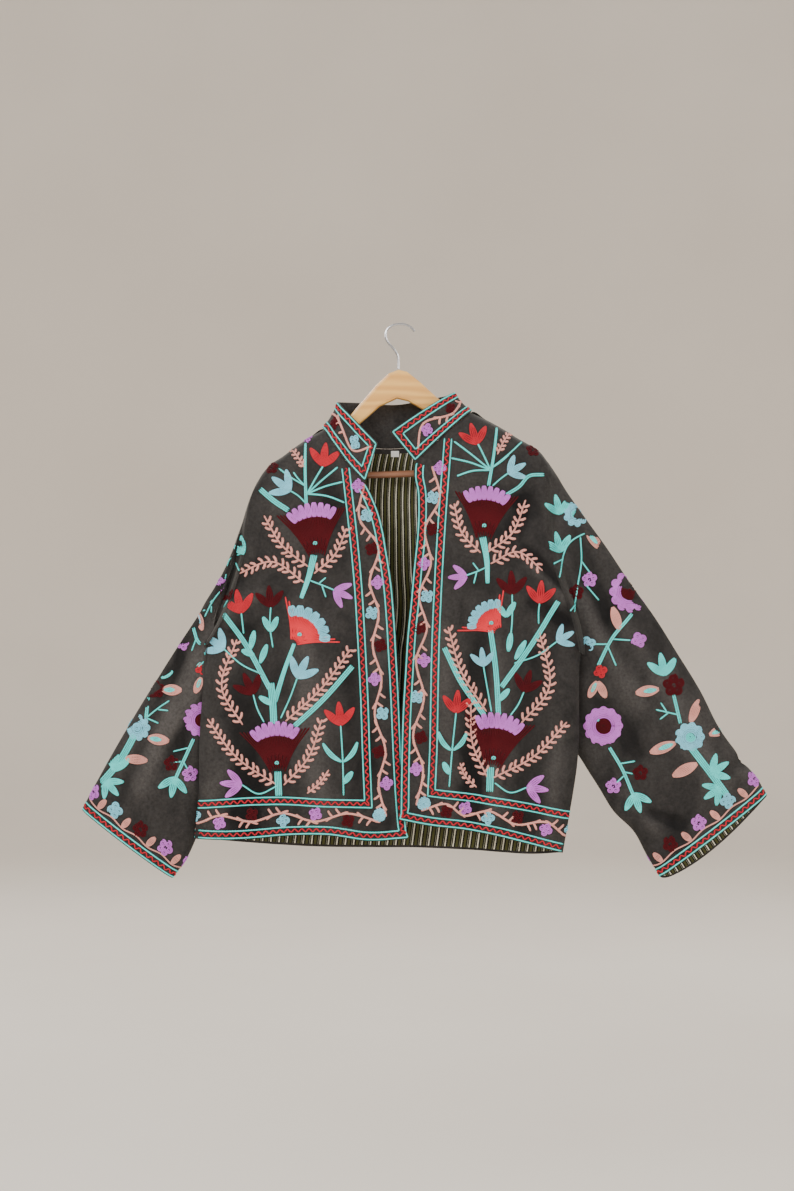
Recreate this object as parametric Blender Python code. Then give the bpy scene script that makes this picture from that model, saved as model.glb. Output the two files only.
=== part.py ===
"""Embroidered velvet jacket hanging on a wooden hanger.

The frame is +Z up, in metres, with its origin at the inner top of the hanger's
hook. The front of the jacket faces -Y, and +X is on the viewer's right. Left
and right name the wearer's sides, so the right front lies at -X.

Each cloth panel is a loft between unlike rows: two grids of points, the face
of the cloth and the same points moved in along their normals, closed round
the edges. Tables are in millimetres.
"""
import math

import bpy
import numpy as np

MM = 0.001

# Cloth walls
VELVET = 1.8
LINING = 1.0
SEAM = 0.3
COLLAR_WALL = 3.0
LINING_GAP = 0.4
UNDER = VELVET + LINING_GAP
SHARPEST_LEAN = 0.5
LINING_SHORT = 2.0
LINING_SHORT_AT_SIDE = 3.0
BACK_LINING_SHORT_AT_SIDE = 0.8

# Depth of the hanging jacket, front negative and back positive
SIDE_SEAM_Y = -14.0
BACK_Y = 22.0
BACK_NECK_Y = 19.0
SHOULDER_ROUND = 38.0
ARMHOLE_FRONT_BULGE = 20.0
ARMHOLE_BACK_BULGE = 24.0
UNDERARM_POWER = 8
SIDE_FOLD_POWER = 2.6
NECK_FLAT_POWER = 3
NECK_ROUND_POWER = 0.4
BACK_FOLD_POWER = 2.0
FOLD_FADE_POWER = 4

# Rows over which the body folds shut round its underarm, and where down the panel the hem's curve starts
CLOSES_BEFORE_UNDERARM = 2
CLOSES_OVER = 4.0
HEM_CURVE_FROM = 0.8

# How the sleeve's rings take over from the armhole's own curve
ARMHOLE_FADE = 0.1
ARMHOLE_ROLL = 1.5
UNDERARM_CLEAR = (1.0, 3.0)
SLEEVE_LINING_ROW = 8

# Front view outline of each half, columns x and z
SHOULDER = {
    "right": [(-116, -154), (-148, -173), (-175, -193), (-202, -213), (-215, -233)],
    "left": [(103, -129), (141, -148), (178, -171), (208, -190), (217, -202)],
}
ARMHOLE = {
    "right": [(-215, -233), (-225, -264), (-229, -305), (-235, -347), (-245, -380),
              (-256, -415), (-273, -450), (-288, -477)],
    "left": [(217, -202), (212, -232), (213, -276), (223, -345), (246, -413), (258, -455), (263, -489)],
}
SIDE_SEAM = {
    "right": [(-288, -477), (-296, -554), (-300, -616), (-301, -697), (-307, -762)],
    "left": [(263, -489), (263, -554), (261, -645), (250, -719), (239, -783)],
}
NECK_SEAM = {
    "right": [(-116, -154), (-86, -200), (-54, -236)],
    "left": [(103, -129), (64, -164), (20, -206)],
}
FRONT_EDGE = {
    "right": [(-54, -236), (-39, -264), (-23, -329), (-13, -394), (-7, -481), (-3, -554),
              (0, -626), (4, -699), (9, -760)],
    "left": [(20, -206), (23, -258), (22, -306), (17, -354), (13, -403), (7, -460),
             (4, -508), (0, -577), (-2, -645), (-3, -732)],
}
FRONT_HEM = {
    "right": [(9, -760), (-22, -766), (-68, -760), (-136, -754), (-206, -760), (-252, -763), (-307, -762)],
    "left": [(-3, -732), (44, -741), (113, -750), (160, -761), (204, -773), (239, -783)],
}
BACK_NECK = [(-116, -154), (-97, -168), (-55, -179), (-12, -182), (36, -176), (76, -157), (103, -129)]
BACK_HEM = [(-307, -762), (-229, -771), (-160, -777), (-91, -779), (2, -780), (113, -783),
            (204, -787), (239, -783)]

# Depth of each front edge at the neck corner and at the hem
FRONT_EDGE_Y = {"right": (-33.0, -31.0), "left": (-34.0, -38.5)}

# Sleeve edges, columns x, y and z: the outer edge from the shoulder tip, the inner edge from the underarm
SLEEVE_OUTER = {
    "right": [(-222, 1, -250), (-242, 2, -306), (-273, 4, -376), (-329, 6, -468), (-394, 6, -574),
              (-439, 5, -651), (-477, 4, -721)],
    "left": [(228, 1, -218), (255, 2, -261), (293, 4, -312), (339, 5, -381), (376, 6, -432), (408, 6, -483),
             (450, 6, -552), (480, 5, -610), (506, 4, -644), (545, 4, -699)],
}
SLEEVE_INNER = {
    "right": [(-297, 1, -485), (-294, 11, -509), (-287, 15, -546), (-282, 17, -602), (-279, 16, -655),
              (-286, 13, -705), (-307, 11, -764), (-328, 9, -806), (-342, 8, -824)],
    "left": [(275, 1, -493), (269, 11, -513), (258, 15, -545), (252, 16, -585), (253, 15, -618),
             (267, 13, -646), (284, 12, -669), (303, 11, -704), (322, 10, -731), (347, 9, -755),
             (359, 9, -778), (374, 8, -803), (386, 8, -822)],
}
SLEEVE_HALF_DEPTH = 17.0
CUFF_HALF_DEPTH = 19.0

# Slack of the sleeve beside the underarm: how far it stands out, its place across and along, and its spread
UNDERARM_SLACK = {"right": 15.0, "left": 8.0}
SLACK_PLACE = (0.68, 0.16)
SLACK_SPREAD = (0.22, 0.12)

# Large soft folds of a sleeve's front, columns: place across, width, height, start and end along the sleeve
SLEEVE_FOLDS = {
    "right": [(0.62, 0.13, 5.0, 0.18, 0.86), (0.30, 0.10, -3.0, 0.30, 0.90)],
    "left": [(0.45, 0.12, 4.0, 0.10, 0.62), (0.78, 0.10, -4.0, 0.45, 1.05)],
}
SLEEVE_BACK_FOLD_SHARE = 0.6

# How far the back layer of the cuff hangs below the front layer at its inner end, and where that starts
CUFF_BACK_DROP = {"right": 0.0, "left": 11.0}
CUFF_DROP_FROM = 0.75

# Large soft folds of a front, columns: place across, width, height, start and end down the panel
FRONT_FOLDS = {
    "right": [(0.30, 0.10, 3.0, 0.55, 1.15), (0.66, 0.12, -3.0, 0.60, 1.15)],
    "left": [(0.42, 0.10, -5.0, 0.40, 1.15), (0.72, 0.10, 3.5, 0.55, 1.15)],
}
BACK_FOLDS = [(0.22, 0.07, 4.0, 0.45, 1.2), (0.42, 0.08, -3.0, 0.50, 1.2), (0.60, 0.06, 4.5, 0.35, 1.2),
              (0.80, 0.07, -3.0, 0.45, 1.2)]

# Top edge of the collar band, columns x, y and z, from the right front corner to the left one
COLLAR_TOP = {
    "right": [(-93, 0, -115), (-88, -16, -122), (-64, -28, -148), (-35, -32, -178)],
    "back": [(-93, 0, -115), (-89, 13, -113), (-62, 20, -113), (-12, 21, -116), (38, 20, -108), (72, 13, -102),
             (76, 0, -101)],
    "left": [(76, 0, -101), (66, -17, -107), (27, -29, -131), (-17, -35, -161)],
}
COLLAR_LEAN = 2.5

# Shares of the tables at which rows and columns of the grids lie
NECK_ROWS = (0.0, 0.06, 0.25, 0.6, 1.0)
ARMHOLE_ROWS = (0.0, 0.018, 0.07, 0.2, 0.38, 0.57, 0.76, 0.91, 1.0)
FRONT_EDGE_AT_UNDERARM = 0.41
ROWS_BELOW_UNDERARM = 9
FRONT_COLUMNS = (0.0, 0.18, 0.38, 0.58, 0.76, 0.89, 0.97, 1.0)
NECK_COLUMNS = (0.0, 0.07, 0.25, 0.5, 0.75, 0.93, 1.0)
SLEEVE_ROWS = (0.0, 0.06, 0.14, 0.24, 0.35, 0.46, 0.57, 0.68, 0.79, 0.90, 1.0)
COLLAR_ROWS = (0.0, 0.35, 0.7, 1.0)

# Hanger
WOOD_HALF = 6.5
WOOD_ROUND = 4.0
WOOD_BELOW_LINING = 3.8
WOOD_ARCH = [(-111, -163), (-99, -157), (-81, -139), (-62, -117), (-38, -89), (-20, -72), (-5, -66), (8, -69),
             (27, -84), (52, -107), (88, -133), (98, -139)]
WOOD_ARM_START = {"right": -119.0, "left": 106.0}
WOOD_END_RIGHT = [(-197, -226), (-196, -237), (-161, -237), (-161, -215), (-140, -202)]
WOOD_END_LEFT = [(128, -181), (156, -201), (170, -209), (170, -222), (198, -222), (199, -209)]
WOOD_UNDERSIDE = [(-104, -176), (-67, -151), (-33, -121), (-7, -109), (10, -113), (35, -128), (80, -155)]
BAR_RADIUS = 5.0
BAR_ENDS = ((-160.7, -226.5), (169.7, -215.5))
BAR_SIDES = 16
HOOK_RADIUS = 1.75
HOOK_ROUTE = [(-5, -65), (-5, -54), (-6, -45), (-12, -35), (-20, -26), (-24, -17), (-22, -7), (-14, 0),
              (-4, 2), (6, 1.2), (14, -3), (19, -9)]
HOOK_POINTS = 26
HOOK_BEVEL = 2
WOOD_BEVEL = 1

# Label
LABEL_SIZE = (12.0, 0.6, 9.0)
LABEL_PLACE = (-10.0, 16.5, -190.0)

# Edges sharper than this are shaded sharp
SHARP_ANGLE = math.radians(40)

# Colours of the materials: red, green, blue, roughness, metallic
FINISHES = {
    "velvet": (0.036, 0.030, 0.026, 0.9, 0.0),
    "lining": (0.090, 0.096, 0.050, 0.8, 0.0),
    "label": (0.80, 0.79, 0.75, 0.8, 0.0),
    "pine": (0.72, 0.47, 0.22, 0.5, 0.0),
    "bar_wood": (0.24, 0.09, 0.045, 0.45, 0.0),
    "steel": (0.62, 0.62, 0.64, 0.3, 1.0),
}


def clear_scene():
    for item in list(bpy.data.objects):
        bpy.data.objects.remove(item, do_unlink=True)


def make_material(name):
    red, green, blue, roughness, metallic = FINISHES[name]
    material = bpy.data.materials.new(name)
    material.use_nodes = True
    shader = material.node_tree.nodes["Principled BSDF"]
    shader.inputs["Base Color"].default_value = (red, green, blue, 1.0)
    shader.inputs["Roughness"].default_value = roughness
    shader.inputs["Metallic"].default_value = metallic
    return material


def unit(vectors):
    return vectors / np.linalg.norm(vectors, axis=-1, keepdims=True)


def smooth(value):
    """Zero to one with flat ends."""
    value = np.clip(value, 0.0, 1.0)
    return value * value * (3.0 - 2.0 * value)


def through(table, shares):
    """Points at these shares of the length of a smooth curve through a table's points."""
    knots = np.array(table, dtype=float)
    steps = np.linalg.norm(np.diff(knots, axis=0), axis=1)
    length = np.concatenate([[0.0], np.cumsum(steps)])
    slopes = np.gradient(knots, length, axis=0)
    target = np.asarray(shares, dtype=float) * length[-1]
    cell = np.clip(np.searchsorted(length, target, side="right") - 1, 0, len(knots) - 2)
    width = steps[cell][:, None]
    share = (target[:, None] - length[cell][:, None]) / width
    square = share * share
    cube = square * share
    return ((2 * cube - 3 * square + 1) * knots[cell]
            + (cube - 2 * square + share) * width * slopes[cell]
            + (3 * square - 2 * cube) * knots[cell + 1]
            + (cube - square) * width * slopes[cell + 1])


def over_hanger(drop):
    """Share of the full depth that cloth has this far below the shoulder it hangs over."""
    near = 1.0 - np.clip(drop / SHOULDER_ROUND, 0.0, 1.0)
    return np.sqrt(1.0 - near * near)


def folds(table, across, along):
    """Sum of soft ridges and troughs, each a bell across and a slow swell along its length."""
    height = np.zeros(np.broadcast(across, along).shape)
    for place, width, lift, start, end in table:
        bell = np.exp(-((across - place) / width) ** 2)
        swell = np.sin(math.pi * np.clip((along - start) / (end - start), 0.0, 1.0))
        height += lift * bell * swell
    return height


def side_rows(side):
    """Outer edge of a body panel, x and z: the armhole down to the underarm, then the side seam."""
    armhole = through(ARMHOLE[side], ARMHOLE_ROWS)
    seam = through(SIDE_SEAM[side], np.linspace(0.0, 1.0, ROWS_BELOW_UNDERARM + 1))
    return np.concatenate([armhole, seam[1:]])


def side_depth(side, bulge):
    """Depth along that outer edge: a bulge over the armhole that dies out at the underarm."""
    edge = side_rows(side)
    share = np.concatenate([ARMHOLE_ROWS, np.ones(ROWS_BELOW_UNDERARM)])
    drop = edge[0, 1] - edge[:, 1]
    return SIDE_SEAM_Y * share + bulge * over_hanger(drop) * (1.0 - share ** UNDERARM_POWER)


def front_edge_rows(side):
    """Inner edge of a front, x and z: the neck seam, then the front edge down to the hem."""
    above = np.linspace(0.0, FRONT_EDGE_AT_UNDERARM, len(ARMHOLE_ROWS) - len(NECK_ROWS) + 1)
    below = np.linspace(FRONT_EDGE_AT_UNDERARM, 1.0, ROWS_BELOW_UNDERARM + 1)
    neck = through(NECK_SEAM[side], NECK_ROWS)
    edge = through(FRONT_EDGE[side], np.concatenate([above[1:], below[1:]]))
    return np.concatenate([neck, edge])


def row_count():
    return len(ARMHOLE_ROWS) + ROWS_BELOW_UNDERARM


def row_shares():
    """Share of the way down the panel of each row, zero at the shoulder and one at the hem."""
    return np.linspace(0.0, 1.0, row_count())[:, None]


def closed_side():
    """Zero where the armhole is open, one where the body folds shut at its side seam."""
    underarm = len(ARMHOLE_ROWS) - 1
    rows = np.arange(row_count())[:, None]
    return smooth((rows - underarm + CLOSES_BEFORE_UNDERARM) / CLOSES_OVER)


def shoulder_fade():
    """How far a row follows the curve of the shoulder and the neck above it."""
    share = np.concatenate([ARMHOLE_ROWS, np.ones(ROWS_BELOW_UNDERARM)])[:, None]
    return (1.0 - share) ** 2


def hem_share():
    """How far a row takes part in the hem's own curve."""
    return np.clip((row_shares() - HEM_CURVE_FROM) / (1.0 - HEM_CURVE_FROM), 0.0, 1.0)


def front_grid(side):
    """Face of a front: straight rows from the front edge to the side, bowed along shoulder and hem."""
    across = np.array(FRONT_COLUMNS)[None, :]
    inner = front_edge_rows(side)
    outer = side_rows(side)
    plan = (1 - across)[..., None] * inner[:, None] + across[..., None] * outer[:, None]
    shoulder_bow = through(SHOULDER[side], FRONT_COLUMNS) - plan[0]
    hem_bow = through(FRONT_HEM[side], FRONT_COLUMNS) - plan[-1]
    plan = plan + shoulder_fade()[..., None] * shoulder_bow + hem_share()[..., None] * hem_bow

    drop = inner[0, 1] - inner[:, 1]
    neck_y, hem_y = FRONT_EDGE_Y[side]
    inner_y = (neck_y + (hem_y - neck_y) * row_shares()[:, 0]) * over_hanger(drop)
    outer_y = side_depth(side, -ARMHOLE_FRONT_BULGE)
    open_shape = 1.0 - across ** 2
    fold_shape = np.sqrt(1.0 - across ** SIDE_FOLD_POWER)
    shape = open_shape + (fold_shape - open_shape) * closed_side()
    depth = outer_y[:, None] + (inner_y - outer_y)[:, None] * shape
    depth = depth - folds(FRONT_FOLDS[side], across, row_shares()) * (1.0 - across ** FOLD_FADE_POWER)
    depth[0] = -SEAM / 2
    depth[len(ARMHOLE_ROWS) - 1:, -1] = SIDE_SEAM_Y - SEAM / 2
    return np.stack([plan[..., 0], depth, plan[..., 1]], axis=-1)


def back_grid():
    """Face of the back: rows from side seam to side seam, with the neck cut out of the top one."""
    columns = np.array(FRONT_COLUMNS)
    neck = through(BACK_NECK, NECK_COLUMNS)
    right_top = through(SHOULDER["right"], columns)[::-1]
    left_top = through(SHOULDER["left"], columns)
    top = np.concatenate([right_top, neck[1:-1], left_top])
    across = (top[:, 0] - top[0, 0]) / (top[-1, 0] - top[0, 0])
    right = side_rows("right")
    left = side_rows("left")
    plan = (1 - across)[None, :, None] * right[:, None] + across[None, :, None] * left[:, None]
    top_bow = top - plan[0]
    hem_bow = through(BACK_HEM, across) - plan[-1]
    plan = plan + shoulder_fade()[..., None] * top_bow + hem_share()[..., None] * hem_bow

    right_y = side_depth("right", ARMHOLE_BACK_BULGE)
    left_y = side_depth("left", ARMHOLE_BACK_BULGE)
    edge_y = (1 - across) * right_y[:, None] + across * left_y[:, None]
    centred = np.abs(2 * across - 1)[None, :]
    open_shape = 1.0 - centred ** 2
    fold_shape = np.sqrt(1.0 - centred ** BACK_FOLD_POWER)
    shape = open_shape + (fold_shape - open_shape) * closed_side()
    full = edge_y + (BACK_Y - edge_y) * shape
    full = full + folds(BACK_FOLDS, across[None, :], row_shares()) * (1.0 - centred ** FOLD_FADE_POWER)
    top_y = np.full(len(top), SEAM / 2)
    last = len(columns) - 1
    off_centre = np.abs(2.0 * np.array(NECK_COLUMNS) - 1.0)
    neck_y = BACK_NECK_Y * (1.0 - off_centre ** NECK_FLAT_POWER) ** NECK_ROUND_POWER
    top_y[last:last + len(NECK_COLUMNS)] = np.maximum(neck_y, SEAM / 2)
    drop = plan[0, :, 1] - plan[:, :, 1]
    depth = top_y + (full - top_y) * over_hanger(drop)
    depth[1:, 0] = right_y[1:]
    depth[1:, -1] = left_y[1:]
    depth[len(ARMHOLE_ROWS) - 1:, (0, -1)] = SIDE_SEAM_Y + SEAM / 2
    return np.stack([plan[..., 0], depth, plan[..., 1]], axis=-1)


def armhole_ring(front, back, back_next):
    """The sleeve's first ring: the armhole's own points on both panels, a seam's width further out."""
    last = len(ARMHOLE_ROWS) - 1
    front_away = unit(front[:last + 1, -1] - front[:last + 1, -2])
    back_away = unit(back[:last + 1] - back_next[:last + 1])
    first_front = front[:last + 1, -1] + front_away * SEAM
    first_back = back[:last + 1] + back_away * SEAM
    for end in (0, last):
        first_front[end] = (first_front[end] + first_back[end]) / 2.0
    outward = np.sign(first_front[last, 0])
    near, under = UNDERARM_CLEAR
    first_front[last, 0] += outward * under
    first_front[last - 1, 0] += outward * near
    first_back[last - 1, 0] += outward * near
    return np.concatenate([first_front, first_back[last - 1:0:-1]])


def sleeve_grid(side, armhole):
    """Face of a sleeve: rings from the armhole to the cuff, each a flat lens between the two edges.

    A ring runs from the outer edge down the front to the inner edge and up the back.
    """
    last = len(ARMHOLE_ROWS) - 1
    turn = np.arange(len(armhole)) * math.pi / last
    across = (1.0 - np.cos(turn))[None, :, None] / 2.0
    outer = through(SLEEVE_OUTER[side], SLEEVE_ROWS)[:, None]
    inner = through(SLEEVE_INNER[side], SLEEVE_ROWS)[:, None]
    rows = np.array(SLEEVE_ROWS)[:, None]
    rings = outer + across * (inner - outer)
    tips = armhole[0] + across[0] * (armhole[last] - armhole[0])
    bow = armhole - tips
    bow[:, 1] = 0.0
    fade = (1.0 - np.clip(rows / ARMHOLE_FADE, 0.0, 1.0)) ** 2
    rings = rings + fade[..., None] * bow
    bell = np.exp(-((across[..., 0] - SLACK_PLACE[0]) / SLACK_SPREAD[0]) ** 2
                  - ((rows - SLACK_PLACE[1]) / SLACK_SPREAD[1]) ** 2)
    rings[..., 0] += np.sign(armhole[0, 0]) * UNDERARM_SLACK[side] * bell
    half = SLEEVE_HALF_DEPTH + (CUFF_HALF_DEPTH - SLEEVE_HALF_DEPTH) * rows
    sine = np.sin(turn)
    ridges = folds(SLEEVE_FOLDS[side], across[..., 0], rows) * np.abs(sine)
    rings[..., 1] -= half * sine + ridges * np.where(sine > 0.0, 1.0, -SLEEVE_BACK_FOLD_SHARE)
    drop = CUFF_BACK_DROP[side] * smooth((rows - CUFF_DROP_FROM) / (1.0 - CUFF_DROP_FROM)) * across[..., 0]
    rings[..., 2] -= drop * np.clip(-sine, 0.0, 1.0)
    roll = (armhole + rings[0]) / 2.0
    roll[:, 1] -= ARMHOLE_ROLL * sine
    return np.concatenate([armhole[None], roll[None], rings])


def collar_grid(right_front, back, left_front):
    """Face of the collar band: from the neck seam's own points up to the top edge."""
    corner = len(NECK_ROWS) - 1
    shoulder = len(FRONT_COLUMNS) - 1
    seam = np.concatenate([
        right_front[corner:0:-1, 0],
        back[0, shoulder:shoulder + len(NECK_COLUMNS)],
        left_front[1:corner + 1, 0],
    ])
    seam[corner, 1] = 0.0
    seam[corner + len(NECK_COLUMNS) - 1, 1] = 0.0
    right_top = through(COLLAR_TOP["right"], NECK_ROWS)[::-1]
    back_top = through(COLLAR_TOP["back"], NECK_COLUMNS)
    left_top = through(COLLAR_TOP["left"], NECK_ROWS)
    top = np.concatenate([right_top[:-1], back_top, left_top[1:]])
    rise = unit(top - seam)
    seam = seam + rise * SEAM
    rows = np.array(COLLAR_ROWS)[:, None, None]
    band = seam + rows * (top - seam)
    outward = unit(np.cross(np.gradient(seam, axis=0), rise))
    belly = np.sin(math.pi * rows) * COLLAR_LEAN
    return band + belly * outward


def grid_normals(grid, facing, ring=False):
    """Unit normals of a grid of points, facing +1 or -1 for the way round that its rows run."""
    down = np.gradient(grid, axis=0)
    if ring:
        round_it = (np.roll(grid, -1, axis=1) - np.roll(grid, 1, axis=1)) / 2.0
    else:
        round_it = np.gradient(grid, axis=1)
    return unit(np.cross(round_it, down)) * facing


def mitred(normals, grid, facing, ring=False):
    """Normals made longer where the cloth bends, so that a layer moved in keeps its distance."""
    looped = np.concatenate([grid, grid[:, :1]], axis=1) if ring else grid
    facets = unit(np.cross(looped[1:, 1:] - looped[:-1, :-1], looped[1:, :-1] - looped[:-1, 1:])) * facing
    padded = np.pad(facets, ((1, 1), (0, 0), (0, 0)), mode="edge")
    padded = np.pad(padded, ((0, 0), (1, 0 if ring else 1), (0, 0)), mode="wrap" if ring else "edge")
    corners = [padded[:-1, :-1], padded[:-1, 1:], padded[1:, :-1], padded[1:, 1:]]
    lean = sum(np.sum(normals * corner, axis=-1, keepdims=True) for corner in corners) / 4.0
    return normals / np.clip(lean, SHARPEST_LEAN, 1.0)


def seam_normals(points, upward):
    """Normals of a seam that two panels share: square to it in the X-Z plane, so their edges are parallel."""
    run = np.gradient(points, axis=0)
    normal = unit(np.stack([-run[:, 2], np.zeros(len(run)), run[:, 0]], axis=-1))
    flip = np.sign(np.sum(normal * np.array(upward), axis=-1, keepdims=True))
    return normal * flip


def pull_back(grid, sides):
    """Moves a grid's last row, and its first and last columns, towards their neighbours by these lengths."""
    first, last = sides
    moved = grid.copy()
    moved[-1] += unit(grid[-2] - grid[-1]) * LINING_SHORT
    moved[:, 0] += unit(grid[:, 1] - grid[:, 0]) * first
    moved[:, -1] += unit(grid[:, -2] - grid[:, -1]) * last
    return moved


def wall(name, face, back, facing, ring, material, collection):
    """A closed cloth wall between two grids of points, with its open edges joined across."""
    rows, columns = face.shape[:2]
    number = np.arange(rows * columns).reshape(rows, columns)
    if ring:
        number = np.concatenate([number, number[:, :1]], axis=1)
    a, b = number[:-1, :-1].ravel(), number[:-1, 1:].ravel()
    d, c = number[1:, :-1].ravel(), number[1:, 1:].ravel()
    face_sheet = np.concatenate([np.stack([a, b, c], 1), np.stack([a, c, d], 1)])
    other = rows * columns
    back_sheet = face_sheet[:, ::-1] + other
    edges = [(number[0, 1:], number[0, :-1]), (number[-1, :-1], number[-1, 1:])]
    if not ring:
        edges += [(number[:-1, 0], number[1:, 0]), (number[1:, -1], number[:-1, -1])]
    rims = []
    height = face.reshape(-1, 3)[:, 2]
    for start, end in edges:
        falls = (height[start] > height[end])[:, None]
        near = np.where(falls, start[:, None], end[:, None]) + other
        far = np.where(falls, end[:, None], start[:, None])
        rims.append(np.concatenate([start[:, None], end[:, None], near], axis=1))
        rims.append(np.concatenate([far, end[:, None] + other, start[:, None] + other], axis=1))
    triangles = np.concatenate([face_sheet, back_sheet] + rims)
    if facing < 0:
        triangles = triangles[:, ::-1]
    points = np.concatenate([face.reshape(-1, 3), back.reshape(-1, 3)]) * MM
    mesh = bpy.data.meshes.new(name)
    mesh.from_pydata(points.tolist(), [], triangles.tolist())
    mesh.shade_smooth()
    mesh.set_sharp_from_angle(angle=SHARP_ANGLE)
    mesh.materials.append(material)
    item = bpy.data.objects.new(name, mesh)
    collection.objects.link(item)
    return item


def panel(name, grid, normals, facing, ring, materials, collection, first_row, sides):
    """A velvet panel and the lining inside it, both worked out from the panel's own face."""
    normals = mitred(normals, grid, facing, ring)
    wall(name, grid, grid - normals * VELVET, facing, ring, materials["velvet"], collection)
    layers = []
    for depth in (UNDER, UNDER + LINING):
        layers.append(pull_back((grid - normals * depth)[first_row:], sides))
    wall(name + "_lining", *layers, facing, ring, materials["lining"], collection)


def front_normals(side, grid, facing):
    normals = grid_normals(grid, facing)
    underarm = len(ARMHOLE_ROWS) - 1
    outward = {"right": (-1, 0, 0), "left": (1, 0, 0)}[side]
    normals[0] = seam_normals(grid[0], (0, 0, 1))
    normals[underarm:, -1] = seam_normals(grid[underarm:, -1], outward)
    return normals


def back_normals(grid, front_right, front_left):
    """The back's normals, with the fronts' own at the shoulder and side seams they share."""
    normals = grid_normals(grid, 1.0)
    underarm = len(ARMHOLE_ROWS) - 1
    shoulder = len(FRONT_COLUMNS)
    normals[0, :shoulder] = front_right[0, ::-1]
    normals[0, -shoulder:] = front_left[0]
    normals[underarm:, 0] = front_right[underarm:, -1]
    normals[underarm:, -1] = front_left[underarm:, -1]
    return normals


def curve_object(name, points, radius, resolution, material, collection):
    """A wire: a poly curve of round section with closed ends."""
    data = bpy.data.curves.new(name, "CURVE")
    data.dimensions = "3D"
    data.bevel_depth = radius * MM
    data.bevel_resolution = resolution
    data.use_fill_caps = True
    data.resolution_u = 1
    data.render_resolution_u = 0
    spline = data.splines.new("POLY")
    spline.points.add(len(points) - 1)
    for point, place in zip(spline.points, points):
        point.co = (place[0] * MM, place[1] * MM, place[2] * MM, 1.0)
    data.materials.append(material)
    item = bpy.data.objects.new(name, data)
    collection.objects.link(item)
    return item


def build_hanger_wood(front_right, right_normals, front_left, left_normals, material, collection):
    """Flat arched wood whose arms run just under the lining of the shoulders."""
    below = UNDER + LINING + WOOD_BELOW_LINING
    right_arm = (front_right[0] - right_normals[0] * below)[:, (0, 2)]
    left_arm = (front_left[0] - left_normals[0] * below)[:, (0, 2)]
    right_arm = right_arm[(right_arm[:, 0] > WOOD_END_RIGHT[0][0])
                          & (right_arm[:, 0] < WOOD_ARM_START["right"])]
    left_arm = left_arm[(left_arm[:, 0] < WOOD_END_LEFT[-1][0]) & (left_arm[:, 0] > WOOD_ARM_START["left"])]
    outline = np.concatenate([right_arm[::-1], WOOD_ARCH, left_arm, WOOD_END_LEFT[::-1],
                              WOOD_UNDERSIDE[::-1], WOOD_END_RIGHT[::-1]])
    data = bpy.data.curves.new("hanger_wood", "CURVE")
    data.dimensions = "2D"
    data.fill_mode = "BOTH"
    data.extrude = (WOOD_HALF - WOOD_ROUND) * MM
    data.bevel_depth = WOOD_ROUND * MM
    data.bevel_resolution = WOOD_BEVEL
    data.offset = -WOOD_ROUND * MM
    data.resolution_u = 1
    data.render_resolution_u = 0
    spline = data.splines.new("POLY")
    spline.points.add(len(outline) - 1)
    for point, place in zip(spline.points, outline):
        point.co = (place[0] * MM, place[1] * MM, 0.0, 1.0)
    spline.use_cyclic_u = True
    data.materials.append(material)
    item = bpy.data.objects.new("hanger_wood", data)
    item.rotation_euler = (math.radians(90), 0.0, 0.0)
    collection.objects.link(item)


def build_bar(material, collection):
    start = np.array([BAR_ENDS[0][0], 0.0, BAR_ENDS[0][1]])
    end = np.array([BAR_ENDS[1][0], 0.0, BAR_ENDS[1][1]])
    run = end - start
    middle = (start + end) / 2 * MM
    tilt = math.atan2(run[0], run[2])
    bpy.ops.mesh.primitive_cylinder_add(
        vertices=BAR_SIDES, radius=BAR_RADIUS * MM, depth=np.linalg.norm(run) * MM,
        location=middle, rotation=(0.0, tilt, 0.0))
    item = bpy.context.object
    item.name = "trouser_bar"
    item.data.name = "trouser_bar"
    item.data.materials.append(material)
    item.data.shade_smooth()
    item.data.set_sharp_from_angle(angle=SHARP_ANGLE)
    move_to(item, collection)


def build_hook(material, collection):
    route = through(HOOK_ROUTE, np.linspace(0.0, 1.0, HOOK_POINTS))
    points = np.stack([route[:, 0], np.zeros(HOOK_POINTS), route[:, 1]], axis=-1)
    curve_object("hook", points, HOOK_RADIUS, HOOK_BEVEL, material, collection)


def build_label(material, collection):
    bpy.ops.mesh.primitive_cube_add(size=1.0, location=[value * MM for value in LABEL_PLACE])
    item = bpy.context.object
    item.name = "label"
    item.data.name = "label"
    item.scale = [value * MM for value in LABEL_SIZE]
    bpy.ops.object.transform_apply(location=False, rotation=False, scale=True)
    item.data.materials.append(material)
    move_to(item, collection)


def move_to(item, collection):
    for other in list(item.users_collection):
        other.objects.unlink(item)
    collection.objects.link(item)


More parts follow.
